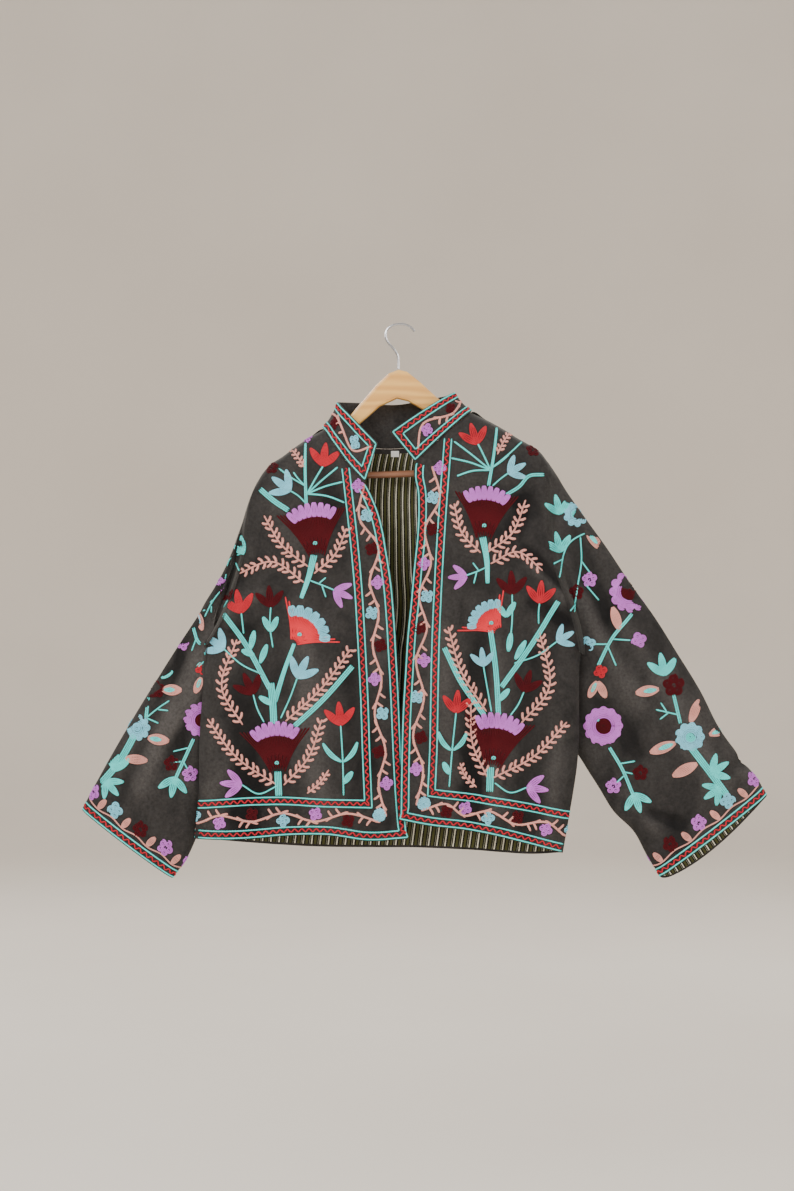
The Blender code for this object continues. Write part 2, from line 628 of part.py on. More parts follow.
def main():
    clear_scene()
    collection = bpy.data.collections.new("embroidered_jacket_on_hanger")
    bpy.context.scene.collection.children.link(collection)
    materials = {name: make_material(name) for name in FINISHES}

    front_facing = {"right": 1.0, "left": -1.0}
    fronts = {side: front_grid(side) for side in front_facing}
    normals = {side: front_normals(side, fronts[side], front_facing[side]) for side in front_facing}
    back = back_grid()
    normals_of_back = back_normals(back, normals["right"], normals["left"])

    for side in front_facing:
        panel("front_" + side, fronts[side], normals[side], front_facing[side], False, materials, collection,
              1, (LINING_SHORT, LINING_SHORT_AT_SIDE))
    panel("back", back, normals_of_back, 1.0, False, materials, collection,
          1, (BACK_LINING_SHORT_AT_SIDE, BACK_LINING_SHORT_AT_SIDE))

    underarm = len(ARMHOLE_ROWS) - 1
    back_side = {"right": 0, "left": -1}
    next_column = {"right": 1, "left": -2}
    for side in front_facing:
        column = back_side[side]
        ring = armhole_ring(fronts[side], back[:, column], back[:, next_column[side]])
        sleeve = sleeve_grid(side, ring)
        facing = -front_facing[side]
        sleeve_normals = grid_normals(sleeve, facing, ring=True)
        sleeve_normals[0, :underarm] = normals[side][:underarm, -1]
        sleeve_normals[0, underarm + 1:] = normals_of_back[underarm - 1:0:-1, column]
        panel("sleeve_" + side, sleeve, sleeve_normals, facing, True, materials, collection,
              SLEEVE_LINING_ROW, (0.0, 0.0))

    collar = collar_grid(fronts["right"], back, fronts["left"])
    collar_normals = grid_normals(collar, 1.0)
    wall("collar", collar, collar - collar_normals * COLLAR_WALL, 1.0, False, materials["velvet"], collection)

    build_hanger_wood(fronts["right"], normals["right"], fronts["left"], normals["left"],
                      materials["pine"], collection)
    build_bar(materials["bar_wood"], collection)
    build_hook(materials["steel"], collection)
    build_label(materials["label"], collection)


main()
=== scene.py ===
# %% [markdown]
# # An embroidered velvet jacket on its hanger
#
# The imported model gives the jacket's size and place. This lesson dresses it: smooth velvet panels with their
# folds, a striped lining, and chain-stitch embroidery sewn on as real raised rows.
# Left and right are the wearer's, so the right front is on the viewer's left, at -X. The front faces -Y.

import math

import bmesh
import bpy
import numpy as np
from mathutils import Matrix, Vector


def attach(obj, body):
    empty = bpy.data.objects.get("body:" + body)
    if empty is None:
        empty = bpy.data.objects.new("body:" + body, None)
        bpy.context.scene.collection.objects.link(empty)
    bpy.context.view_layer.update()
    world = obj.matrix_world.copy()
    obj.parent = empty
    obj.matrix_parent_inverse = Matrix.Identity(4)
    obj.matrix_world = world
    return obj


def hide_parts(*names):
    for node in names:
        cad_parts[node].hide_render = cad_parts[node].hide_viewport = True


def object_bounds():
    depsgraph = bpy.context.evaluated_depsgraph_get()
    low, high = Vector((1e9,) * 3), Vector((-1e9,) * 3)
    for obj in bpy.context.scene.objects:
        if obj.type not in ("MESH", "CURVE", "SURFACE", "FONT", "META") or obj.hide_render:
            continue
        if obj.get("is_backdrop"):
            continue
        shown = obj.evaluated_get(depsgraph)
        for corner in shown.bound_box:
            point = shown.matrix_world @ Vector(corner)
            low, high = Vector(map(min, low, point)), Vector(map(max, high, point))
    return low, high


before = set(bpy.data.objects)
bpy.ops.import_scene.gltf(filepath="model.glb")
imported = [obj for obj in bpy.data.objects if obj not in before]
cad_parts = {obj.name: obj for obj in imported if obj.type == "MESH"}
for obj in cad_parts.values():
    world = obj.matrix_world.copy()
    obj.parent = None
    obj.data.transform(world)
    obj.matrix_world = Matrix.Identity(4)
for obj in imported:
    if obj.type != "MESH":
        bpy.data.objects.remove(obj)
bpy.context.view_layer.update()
MM = 0.001

# %% [markdown]
# ## Camera
#
# The jacket was seen square on, from about chest height and a few paces away, with a slightly long lens.
# The camera is set first, because every later choice is judged through it.

# %% Camera
CAMERA_AT = (-0.007, -2.66, -0.402)
LENS = 54.0

camera_data = bpy.data.cameras.new("camera")
camera_data.lens = LENS
camera = bpy.data.objects.new("camera", camera_data)
camera.location = CAMERA_AT
camera.rotation_euler = (math.radians(90.0), 0.0, 0.0)
bpy.context.scene.collection.objects.link(camera)
bpy.context.scene.camera = camera

# %% [markdown]
# ## The jacket's pattern
#
# A tailor cuts flat pieces and the hanger gives them their form. Here each panel is a loft: short tables
# give its two side edges and its ends, in millimetres, and rows run straight between them. The same tables
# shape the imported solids, so the cloth lies exactly on them.

# %% Sizes of the hanging jacket
SEAM = 0.3
# Depth of the hanging jacket, front negative and back positive
SIDE_SEAM_Y = -14.0
BACK_Y = 22.0
BACK_NECK_Y = 19.0
SHOULDER_ROUND = 38.0
ARMHOLE_FRONT_BULGE = 20.0
ARMHOLE_BACK_BULGE = 24.0
UNDERARM_POWER = 8
SIDE_FOLD_POWER = 2.6
NECK_FLAT_POWER = 3
NECK_ROUND_POWER = 0.4
BACK_FOLD_POWER = 2.0
FOLD_FADE_POWER = 4

# Rows over which the body folds shut round its underarm, and where down the panel the hem's curve starts
CLOSES_BEFORE_UNDERARM = 2
CLOSES_OVER = 4.0
HEM_CURVE_FROM = 0.8

ARMHOLE_FADE = 0.1
ARMHOLE_ROLL = 1.5
UNDERARM_CLEAR = (1.0, 3.0)

# %% Outline of each half from the front, columns x and z
SHOULDER = {
    "right": [(-116, -154), (-148, -173), (-175, -193), (-202, -213), (-215, -233)],
    "left": [(103, -129), (141, -148), (178, -171), (208, -190), (217, -202)],
}
ARMHOLE = {
    "right": [(-215, -233), (-225, -264), (-229, -305), (-235, -347), (-245, -380),
              (-256, -415), (-273, -450), (-288, -477)],
    "left": [(217, -202), (212, -232), (213, -276), (223, -345), (246, -413), (258, -455), (263, -489)],
}
SIDE_SEAM = {
    "right": [(-288, -477), (-296, -554), (-300, -616), (-301, -697), (-307, -762)],
    "left": [(263, -489), (263, -554), (261, -645), (250, -719), (239, -783)],
}
NECK_SEAM = {
    "right": [(-116, -154), (-86, -200), (-54, -236)],
    "left": [(103, -129), (64, -164), (20, -206)],
}
FRONT_EDGE = {
    "right": [(-54, -236), (-39, -264), (-23, -329), (-13, -394), (-7, -481), (-3, -554),
              (0, -626), (4, -699), (9, -760)],
    "left": [(20, -206), (23, -258), (22, -306), (17, -354), (13, -403), (7, -460),
             (4, -508), (0, -577), (-2, -645), (-3, -732)],
}
FRONT_HEM = {
    "right": [(9, -760), (-22, -766), (-68, -760), (-136, -754), (-206, -760), (-252, -763), (-307, -762)],
    "left": [(-3, -732), (44, -741), (113, -750), (160, -761), (204, -773), (239, -783)],
}
BACK_NECK = [(-116, -154), (-97, -168), (-55, -179), (-12, -182), (36, -176), (76, -157), (103, -129)]
BACK_HEM = [(-307, -762), (-229, -771), (-160, -777), (-91, -779), (2, -780), (113, -783),
            (204, -787), (239, -783)]

FRONT_EDGE_Y = {"right": (-33.0, -31.0), "left": (-34.0, -38.5)}

# %% Sleeve edges, columns x, y and z
SLEEVE_OUTER = {
    "right": [(-222, 1, -250), (-242, 2, -306), (-273, 4, -376), (-329, 6, -468), (-394, 6, -574),
              (-439, 5, -651), (-477, 4, -721)],
    "left": [(228, 1, -218), (255, 2, -261), (293, 4, -312), (339, 5, -381), (376, 6, -432), (408, 6, -483),
             (450, 6, -552), (480, 5, -610), (506, 4, -644), (545, 4, -699)],
}
SLEEVE_INNER = {
    "right": [(-297, 1, -485), (-294, 11, -509), (-287, 15, -546), (-282, 17, -602), (-279, 16, -655),
              (-286, 13, -705), (-307, 11, -764), (-328, 9, -806), (-342, 8, -824)],
    "left": [(275, 1, -493), (269, 11, -513), (258, 15, -545), (252, 16, -585), (253, 15, -618),
             (267, 13, -646), (284, 12, -669), (303, 11, -704), (322, 10, -731), (347, 9, -755),
             (359, 9, -778), (374, 8, -803), (386, 8, -822)],
}
SLEEVE_HALF_DEPTH = 17.0
CUFF_HALF_DEPTH = 19.0
UNDERARM_SLACK = {"right": 15.0, "left": 8.0}
SLACK_PLACE = (0.68, 0.16)
SLACK_SPREAD = (0.22, 0.12)

# %% Large soft folds, columns: place across, width, height, start and end along the panel
SLEEVE_FOLDS = {
    "right": [(0.62, 0.13, 5.0, 0.18, 0.86), (0.30, 0.10, -3.0, 0.30, 0.90)],
    "left": [(0.45, 0.12, 4.0, 0.10, 0.62), (0.78, 0.10, -4.0, 0.45, 1.05)],
}
SLEEVE_BACK_FOLD_SHARE = 0.6
CUFF_BACK_DROP = {"right": 0.0, "left": 11.0}
CUFF_DROP_FROM = 0.75
FRONT_FOLDS = {
    "right": [(0.30, 0.10, 3.0, 0.55, 1.15), (0.66, 0.12, -3.0, 0.60, 1.15)],
    "left": [(0.42, 0.10, -5.0, 0.40, 1.15), (0.72, 0.10, 3.5, 0.55, 1.15)],
}
BACK_FOLDS = [(0.22, 0.07, 4.0, 0.45, 1.2), (0.42, 0.08, -3.0, 0.50, 1.2), (0.60, 0.06, 4.5, 0.35, 1.2),
              (0.80, 0.07, -3.0, 0.45, 1.2)]

# %% Collar's top edge, and the shares of the tables where rows and columns lie
COLLAR_TOP = {
    "right": [(-93, 0, -115), (-88, -16, -122), (-64, -28, -148), (-35, -32, -178)],
    "back": [(-93, 0, -115), (-89, 13, -113), (-62, 20, -113), (-12, 21, -116), (38, 20, -108), (72, 13, -102),
             (76, 0, -101)],
    "left": [(76, 0, -101), (66, -17, -107), (27, -29, -131), (-17, -35, -161)],
}
COLLAR_LEAN = 2.5
NECK_ROWS = (0.0, 0.06, 0.25, 0.6, 1.0)
ARMHOLE_ROWS = (0.0, 0.018, 0.07, 0.2, 0.38, 0.57, 0.76, 0.91, 1.0)
FRONT_EDGE_AT_UNDERARM = 0.41
ROWS_BELOW_UNDERARM = 9
FRONT_COLUMNS = (0.0, 0.18, 0.38, 0.58, 0.76, 0.89, 0.97, 1.0)
NECK_COLUMNS = (0.0, 0.07, 0.25, 0.5, 0.75, 0.93, 1.0)
SLEEVE_ROWS = (0.0, 0.06, 0.14, 0.24, 0.35, 0.46, 0.57, 0.68, 0.79, 0.90, 1.0)
COLLAR_ROWS = (0.0, 0.35, 0.7, 1.0)

# %% [markdown]
# ## From tables to panels
#
# A smooth curve through a table's points is a cubic Hermite: each point keeps its own slope, and between two
# points the four cubic weights blend places and slopes. A front or back panel is then a grid of straight
# rows, and its depth is a function of how far across and how far down the point lies.

# %% Curves and helper shapes
def unit(vectors):
    return vectors / np.linalg.norm(vectors, axis=-1, keepdims=True)


def smooth(value):
    """Zero to one with flat ends."""
    value = np.clip(value, 0.0, 1.0)
    return value * value * (3.0 - 2.0 * value)


def through(table, shares):
    """Points at these shares of the length of a smooth curve through a table's points."""
    knots = np.array(table, dtype=float)
    steps = np.linalg.norm(np.diff(knots, axis=0), axis=1)
    length = np.concatenate([[0.0], np.cumsum(steps)])
    slopes = np.gradient(knots, length, axis=0)
    target = np.asarray(shares, dtype=float) * length[-1]
    cell = np.clip(np.searchsorted(length, target, side="right") - 1, 0, len(knots) - 2)
    width = steps[cell][:, None]
    share = (target[:, None] - length[cell][:, None]) / width
    square = share * share
    cube = square * share
    return ((2 * cube - 3 * square + 1) * knots[cell]
            + (cube - 2 * square + share) * width * slopes[cell]
            + (3 * square - 2 * cube) * knots[cell + 1]
            + (cube - square) * width * slopes[cell + 1])


def over_hanger(drop):
    """Share of the full depth that cloth has this far below the shoulder it hangs over."""
    near = 1.0 - np.clip(drop / SHOULDER_ROUND, 0.0, 1.0)
    return np.sqrt(1.0 - near * near)


def folds(table, across, along):
    """Sum of soft ridges and troughs, each a bell across and a slow swell along its length."""
    height = np.zeros(np.broadcast(across, along).shape)
    for place, width, lift, start, end in table:
        bell = np.exp(-((across - place) / width) ** 2)
        swell = np.sin(math.pi * np.clip((along - start) / (end - start), 0.0, 1.0))
        height += lift * bell * swell
    return height

# %% Edges of the body panels
def side_rows(side):
    """Outer edge of a body panel, x and z: the armhole down to the underarm, then the side seam."""
    armhole = through(ARMHOLE[side], ARMHOLE_ROWS)
    seam = through(SIDE_SEAM[side], np.linspace(0.0, 1.0, ROWS_BELOW_UNDERARM + 1))
    return np.concatenate([armhole, seam[1:]])


def side_depth(side, bulge):
    """Depth along that outer edge: a bulge over the armhole that dies out at the underarm."""
    edge = side_rows(side)
    share = np.concatenate([ARMHOLE_ROWS, np.ones(ROWS_BELOW_UNDERARM)])
    drop = edge[0, 1] - edge[:, 1]
    return SIDE_SEAM_Y * share + bulge * over_hanger(drop) * (1.0 - share ** UNDERARM_POWER)


def front_edge_rows(side):
    """Inner edge of a front, x and z: the neck seam, then the front edge down to the hem."""
    above = np.linspace(0.0, FRONT_EDGE_AT_UNDERARM, len(ARMHOLE_ROWS) - len(NECK_ROWS) + 1)
    below = np.linspace(FRONT_EDGE_AT_UNDERARM, 1.0, ROWS_BELOW_UNDERARM + 1)
    neck = through(NECK_SEAM[side], NECK_ROWS)
    edge = through(FRONT_EDGE[side], np.concatenate([above[1:], below[1:]]))
    return np.concatenate([neck, edge])


def row_count():
    return len(ARMHOLE_ROWS) + ROWS_BELOW_UNDERARM


def row_shares():
    """Share of the way down the panel of each row, zero at the shoulder and one at the hem."""
    return np.linspace(0.0, 1.0, row_count())[:, None]


def closed_side():
    """Zero where the armhole is open, one where the body folds shut at its side seam."""
    underarm = len(ARMHOLE_ROWS) - 1
    rows = np.arange(row_count())[:, None]
    return smooth((rows - underarm + CLOSES_BEFORE_UNDERARM) / CLOSES_OVER)


def shoulder_fade():
    """How far a row follows the curve of the shoulder and the neck above it."""
    share = np.concatenate([ARMHOLE_ROWS, np.ones(ROWS_BELOW_UNDERARM)])[:, None]
    return (1.0 - share) ** 2


def hem_share():
    """How far a row takes part in the hem's own curve."""
    return np.clip((row_shares() - HEM_CURVE_FROM) / (1.0 - HEM_CURVE_FROM), 0.0, 1.0)

# %% The fronts
def front_grid(side):
    """Face of a front: straight rows from the front edge to the side, bowed along shoulder and hem."""
    across = np.array(FRONT_COLUMNS)[None, :]
    inner = front_edge_rows(side)
    outer = side_rows(side)
    plan = (1 - across)[..., None] * inner[:, None] + across[..., None] * outer[:, None]
    shoulder_bow = through(SHOULDER[side], FRONT_COLUMNS) - plan[0]
    hem_bow = through(FRONT_HEM[side], FRONT_COLUMNS) - plan[-1]
    plan = plan + shoulder_fade()[..., None] * shoulder_bow + hem_share()[..., None] * hem_bow

    drop = inner[0, 1] - inner[:, 1]
    neck_y, hem_y = FRONT_EDGE_Y[side]
    inner_y = (neck_y + (hem_y - neck_y) * row_shares()[:, 0]) * over_hanger(drop)
    outer_y = side_depth(side, -ARMHOLE_FRONT_BULGE)
    open_shape = 1.0 - across ** 2
    fold_shape = np.sqrt(1.0 - across ** SIDE_FOLD_POWER)
    shape = open_shape + (fold_shape - open_shape) * closed_side()
    depth = outer_y[:, None] + (inner_y - outer_y)[:, None] * shape
    depth = depth - folds(FRONT_FOLDS[side], across, row_shares()) * (1.0 - across ** FOLD_FADE_POWER)
    depth[0] = -SEAM / 2
    depth[len(ARMHOLE_ROWS) - 1:, -1] = SIDE_SEAM_Y - SEAM / 2
    return np.stack([plan[..., 0], depth, plan[..., 1]], axis=-1)

# %% The back
def back_grid():
    """Face of the back: rows from side seam to side seam, with the neck cut out of the top one."""
    columns = np.array(FRONT_COLUMNS)
    neck = through(BACK_NECK, NECK_COLUMNS)
    right_top = through(SHOULDER["right"], columns)[::-1]
    left_top = through(SHOULDER["left"], columns)
    top = np.concatenate([right_top, neck[1:-1], left_top])
    across = (top[:, 0] - top[0, 0]) / (top[-1, 0] - top[0, 0])
    right = side_rows("right")
    left = side_rows("left")
    plan = (1 - across)[None, :, None] * right[:, None] + across[None, :, None] * left[:, None]
    top_bow = top - plan[0]
    hem_bow = through(BACK_HEM, across) - plan[-1]
    plan = plan + shoulder_fade()[..., None] * top_bow + hem_share()[..., None] * hem_bow

    right_y = side_depth("right", ARMHOLE_BACK_BULGE)
    left_y = side_depth("left", ARMHOLE_BACK_BULGE)
    edge_y = (1 - across) * right_y[:, None] + across * left_y[:, None]
    centred = np.abs(2 * across - 1)[None, :]
    open_shape = 1.0 - centred ** 2
    fold_shape = np.sqrt(1.0 - centred ** BACK_FOLD_POWER)
    shape = open_shape + (fold_shape - open_shape) * closed_side()
    full = edge_y + (BACK_Y - edge_y) * shape
    full = full + folds(BACK_FOLDS, across[None, :], row_shares()) * (1.0 - centred ** FOLD_FADE_POWER)
    top_y = np.full(len(top), SEAM / 2)
    last = len(columns) - 1
    off_centre = np.abs(2.0 * np.array(NECK_COLUMNS) - 1.0)
    neck_y = BACK_NECK_Y * (1.0 - off_centre ** NECK_FLAT_POWER) ** NECK_ROUND_POWER
    top_y[last:last + len(NECK_COLUMNS)] = np.maximum(neck_y, SEAM / 2)
    drop = plan[0, :, 1] - plan[:, :, 1]
    depth = top_y + (full - top_y) * over_hanger(drop)
    depth[1:, 0] = right_y[1:]
    depth[1:, -1] = left_y[1:]
    depth[len(ARMHOLE_ROWS) - 1:, (0, -1)] = SIDE_SEAM_Y + SEAM / 2
    return np.stack([plan[..., 0], depth, plan[..., 1]], axis=-1)

# %% The sleeves and the collar
def armhole_ring(front, back, back_next):
    """The sleeve's first ring: the armhole's own points on both panels, a seam's width further out."""
    last = len(ARMHOLE_ROWS) - 1
    front_away = unit(front[:last + 1, -1] - front[:last + 1, -2])
    back_away = unit(back[:last + 1] - back_next[:last + 1])
    first_front = front[:last + 1, -1] + front_away * SEAM
    first_back = back[:last + 1] + back_away * SEAM
    for end in (0, last):
        first_front[end] = (first_front[end] + first_back[end]) / 2.0
    outward = np.sign(first_front[last, 0])
    near, under = UNDERARM_CLEAR
    first_front[last, 0] += outward * under
    first_front[last - 1, 0] += outward * near
    first_back[last - 1, 0] += outward * near
    return np.concatenate([first_front, first_back[last - 1:0:-1]])


def sleeve_grid(side, armhole):
    """Face of a sleeve: rings from the armhole to the cuff, each a flat lens between the two edges.

    A ring runs from the outer edge down the front to the inner edge and up the back.
    """
    last = len(ARMHOLE_ROWS) - 1
    turn = np.arange(len(armhole)) * math.pi / last
    across = (1.0 - np.cos(turn))[None, :, None] / 2.0
    outer = through(SLEEVE_OUTER[side], SLEEVE_ROWS)[:, None]
    inner = through(SLEEVE_INNER[side], SLEEVE_ROWS)[:, None]
    rows = np.array(SLEEVE_ROWS)[:, None]
    rings = outer + across * (inner - outer)
    tips = armhole[0] + across[0] * (armhole[last] - armhole[0])
    bow = armhole - tips
    bow[:, 1] = 0.0
    fade = (1.0 - np.clip(rows / ARMHOLE_FADE, 0.0, 1.0)) ** 2
    rings = rings + fade[..., None] * bow
    bell = np.exp(-((across[..., 0] - SLACK_PLACE[0]) / SLACK_SPREAD[0]) ** 2
                  - ((rows - SLACK_PLACE[1]) / SLACK_SPREAD[1]) ** 2)
    rings[..., 0] += np.sign(armhole[0, 0]) * UNDERARM_SLACK[side] * bell
    half = SLEEVE_HALF_DEPTH + (CUFF_HALF_DEPTH - SLEEVE_HALF_DEPTH) * rows
    sine = np.sin(turn)
    ridges = folds(SLEEVE_FOLDS[side], across[..., 0], rows) * np.abs(sine)
    rings[..., 1] -= half * sine + ridges * np.where(sine > 0.0, 1.0, -SLEEVE_BACK_FOLD_SHARE)
    drop = CUFF_BACK_DROP[side] * smooth((rows - CUFF_DROP_FROM) / (1.0 - CUFF_DROP_FROM)) * across[..., 0]
    rings[..., 2] -= drop * np.clip(-sine, 0.0, 1.0)
    roll = (armhole + rings[0]) / 2.0
    roll[:, 1] -= ARMHOLE_ROLL * sine
    return np.concatenate([armhole[None], roll[None], rings])


def collar_grid(right_front, back, left_front):
    """Face of the collar band: from the neck seam's own points up to the top edge."""
    corner = len(NECK_ROWS) - 1
    shoulder = len(FRONT_COLUMNS) - 1
    seam = np.concatenate([
        right_front[corner:0:-1, 0],
        back[0, shoulder:shoulder + len(NECK_COLUMNS)],
        left_front[1:corner + 1, 0],
    ])
    seam[corner, 1] = 0.0
    seam[corner + len(NECK_COLUMNS) - 1, 1] = 0.0
    right_top = through(COLLAR_TOP["right"], NECK_ROWS)[::-1]
    back_top = through(COLLAR_TOP["back"], NECK_COLUMNS)
    left_top = through(COLLAR_TOP["left"], NECK_ROWS)
    top = np.concatenate([right_top[:-1], back_top, left_top[1:]])
    rise = unit(top - seam)
    seam = seam + rise * SEAM
    rows = np.array(COLLAR_ROWS)[:, None, None]
    band = seam + rows * (top - seam)
    outward = unit(np.cross(np.gradient(seam, axis=0), rise))
    belly = np.sin(math.pi * rows) * COLLAR_LEAN
    return band + belly * outward


# %% [markdown]
# ## Smooth cloth from few points
#
# The pattern's grids are coarse. Cloth is smooth, so each grid is refined: a cubic Hermite carries every
# column down its rows, and a second pass carries every row across. Modelling the same by hand would take a
# subdivision surface and much pulling of points. Here one function does it for every panel.

# %% Refine a grid
EDGE_ROWS = (0.0, 0.002, 0.006)


def carry(values, knots, at):
    """Cubic Hermite through values that stand at these knots: four blend weights of places and slopes."""
    slopes = np.gradient(values, knots, axis=0)
    cell = np.clip(np.searchsorted(knots, at, side="right") - 1, 0, len(knots) - 2)
    width = (knots[cell + 1] - knots[cell]).reshape(-1, *[1] * (values.ndim - 1))
    share = ((at - knots[cell]) / (knots[cell + 1] - knots[cell])).reshape(width.shape)
    square = share * share
    cube = square * share
    return ((2 * cube - 3 * square + 1) * values[cell]
            + (cube - 2 * square + share) * width * slopes[cell]
            + (3 * square - 2 * cube) * values[cell + 1]
            + (cube - square) * width * slopes[cell + 1])


def lengths(grid):
    """Mean distance from the first row at which each row stands."""
    steps = np.linalg.norm(np.diff(grid, axis=0), axis=-1).mean(axis=1)
    return np.concatenate([[0.0], np.cumsum(steps)])


def close_ends(count):
    """Shares from 0 to 1, evenly spaced but for two extra ones close to each end, where an edge is rounded."""
    near = np.array(EDGE_ROWS)
    return np.concatenate([near[:-1], np.linspace(near[-1], 1.0 - near[-1], count), 1.0 - near[-2::-1]])


def refine(grid, rows, columns, ring=False):
    """A dense smooth grid through a coarse one: Hermite down the rows, then round or across the columns."""
    down = lengths(grid)
    dense = carry(grid, down, close_ends(rows) * down[-1])
    turned = dense.swapaxes(0, 1)
    if ring:
        count = len(turned)
        turned = np.concatenate([turned[-2:], turned, turned[:3]])
        knots = lengths(turned)
        at = knots[2] + (knots[2 + count] - knots[2]) * np.arange(columns) / columns
    else:
        knots = lengths(turned)
        at = close_ends(columns) * knots[-1]
    return carry(turned, knots, at).swapaxes(0, 1)


# %% [markdown]
# ## Creases
#
# Heavy velvet on a hanger falls in a few long soft folds, with short slanted drags where it is pulled, as at
# the underarm. Each crease is a bell-shaped ridge or trough along a line, fading at both ends, placed on the
# front view. A cloth simulation would give folds too, but not these ones.

# %% Creases along lines
# Columns: x and z of both ends on the front view, half width, and height or depth
CREASES = {
    "front_right": [(-262, -400, -212, -352, 9, -1.6), (-270, -432, -206, -398, 10, 2.0),
                    (-282, -468, -214, -452, 12, -1.8), (-150, -420, -120, -735, 24, 2.4),
                    (-238, -520, -226, -752, 20, -2.6), (-70, -470, -58, -700, 20, -1.8),
                    (-196, -250, -150, -330, 16, 1.6), (-250, -640, -292, -700, 14, 1.6),
                    (-116, -180, -96, -300, 15, -1.4)],
    "front_left": [(236, -392, 182, -330, 8, -2.0), (240, -408, 186, -352, 8, 1.8),
                   (250, -446, 190, -412, 11, -2.0), (118, -452, 104, -735, 15, -3.2),
                   (140, -470, 134, -720, 13, 2.6), (196, -500, 190, -760, 22, -2.4),
                   (60, -420, 66, -720, 18, 1.6), (190, -240, 150, -330, 16, -1.5),
                   (232, -600, 214, -765, 12, 2.0)],
    "back": [(-210, -330, -120, -300, 22, 2.2), (196, -320, 110, -290, 22, 2.2),
             (-262, -450, -190, -410, 14, -2.2), (244, -440, 176, -400, 14, -2.2),
             (-60, -230, -86, -520, 26, 1.8), (52, -230, 70, -500, 26, -1.6), (-150, -480, -166, -770, 18, 2.6),
             (120, -470, 132, -775, 18, -2.4), (20, -520, 10, -778, 20, 2.2)],
    "sleeve_right": [(-268, -418, -392, -690, 17, 3.4), (-300, -430, -420, -700, 12, -2.4),
                     (-286, -520, -344, -600, 11, 2.6), (-292, -560, -356, -660, 12, -2.4),
                     (-360, -560, -430, -690, 16, 2.0), (-300, -700, -352, -640, 11, 1.8),
                     (-246, -330, -300, -470, 13, -1.8)],
    "sleeve_left": [(256, -310, 330, -520, 14, -2.2), (268, -402, 352, -566, 15, 2.8),
                    (300, -560, 352, -640, 12, -2.8), (330, -690, 380, -752, 10, 2.4),
                    (352, -722, 420, -742, 9, -2.6), (470, -668, 520, -640, 9, -3.2),
                    (488, -650, 532, -684, 8, 2.2), (396, -520, 470, -690, 18, 2.6),
                    (330, -440, 400, -560, 14, 1.8)],
    "collar": [],
}
CREASE_FADE = 0.35
CREASE_GAIN = 1.5
HELD_SHARE = 0.05


def creased(name, grid, normals):
    """The grid moved along its normals by each crease, and the heights: each is a bell of the distance from a line.
    Seams hold the cloth, so all creases fade out close to the first row and to both side edges of a panel."""
    plan = grid[..., (0, 2)]
    height = np.zeros(grid.shape[:2])
    for x0, z0, x1, z1, width, lift in CREASES[name]:
        start = np.array([x0, z0], dtype=float)
        run = np.array([x1, z1]) - start
        share = ((plan - start) @ run) / (run @ run)
        away = plan - start - np.clip(share, 0.0, 1.0)[..., None] * run
        bell = np.exp(-(np.linalg.norm(away, axis=-1) / width) ** 2)
        begins = smooth((share + CREASE_FADE) / (2 * CREASE_FADE))
        ends = smooth((1 + CREASE_FADE - share) / (2 * CREASE_FADE))
        height += CREASE_GAIN * lift * bell * (begins * ends)
    rows = np.linspace(0.0, 1.0, grid.shape[0])[:, None]
    held = smooth(rows / HELD_SHARE)
    if not name.startswith("sleeve"):
        columns = np.linspace(0.0, 1.0, grid.shape[1])
        held = held * smooth(np.minimum(columns, 1.0 - columns) / HELD_SHARE)
    return grid + normals * (height * held)[..., None], height * held


def dense_normals(grid, facing, ring=False):
    """Unit normals of a dense grid: the cross product of its two directions, facing +1 or -1."""
    down = np.gradient(grid, axis=0)
    if ring:
        across = (np.roll(grid, -1, axis=1) - np.roll(grid, 1, axis=1)) / 2.0
    else:
        across = np.gradient(grid, axis=1)
    return unit(np.cross(across, down)) * facing


# %% [markdown]
# ## Cloth as a closed shell
#
# Cloth has two faces and a turned edge. Each shell takes the outer face, the same points moved in along their
# normals, and a rim that joins them. The outermost rows sink a little, so the edge looks folded over.
# A Solidify modifier would do nearly the same, but this way the edge can be rounded and the map stays even.

# %% Shell of a panel
EDGE_SINK = (0.55, 0.18, 0.0)
SHARP_EDGE = 50.0


def put_mesh(name, points, faces, uvs, material, material_index=None):
    """A mesh object from arrays in millimetres, with a UV map given at its points."""
    mesh = bpy.data.meshes.new(name)
    mesh.from_pydata((points * MM).tolist(), [], faces.tolist())
    layer = mesh.uv_layers.new(name="UVMap")
    corner = np.empty(len(mesh.loops), dtype=np.int32)
    mesh.loops.foreach_get("vertex_index", corner)
    layer.data.foreach_set("uv", uvs[corner].astype(np.float32).ravel())
    for each in material if isinstance(material, list) else [material]:
        mesh.materials.append(each)
    if material_index is not None:
        mesh.polygons.foreach_set("material_index", material_index.astype(np.int32))
    mesh.shade_smooth()
    item = bpy.data.objects.new(name, mesh)
    bpy.context.scene.collection.objects.link(item)
    return item


def cloth_map(grid):
    """Cloth's own coordinates in metres: across is measured along the middle row, down along each column."""
    across = lengths(grid.swapaxes(0, 1))
    down = lengths(grid)
    return np.stack(np.broadcast_arrays(across[None, :] - across[-1] / 2, -down[:, None]), axis=-1) * MM


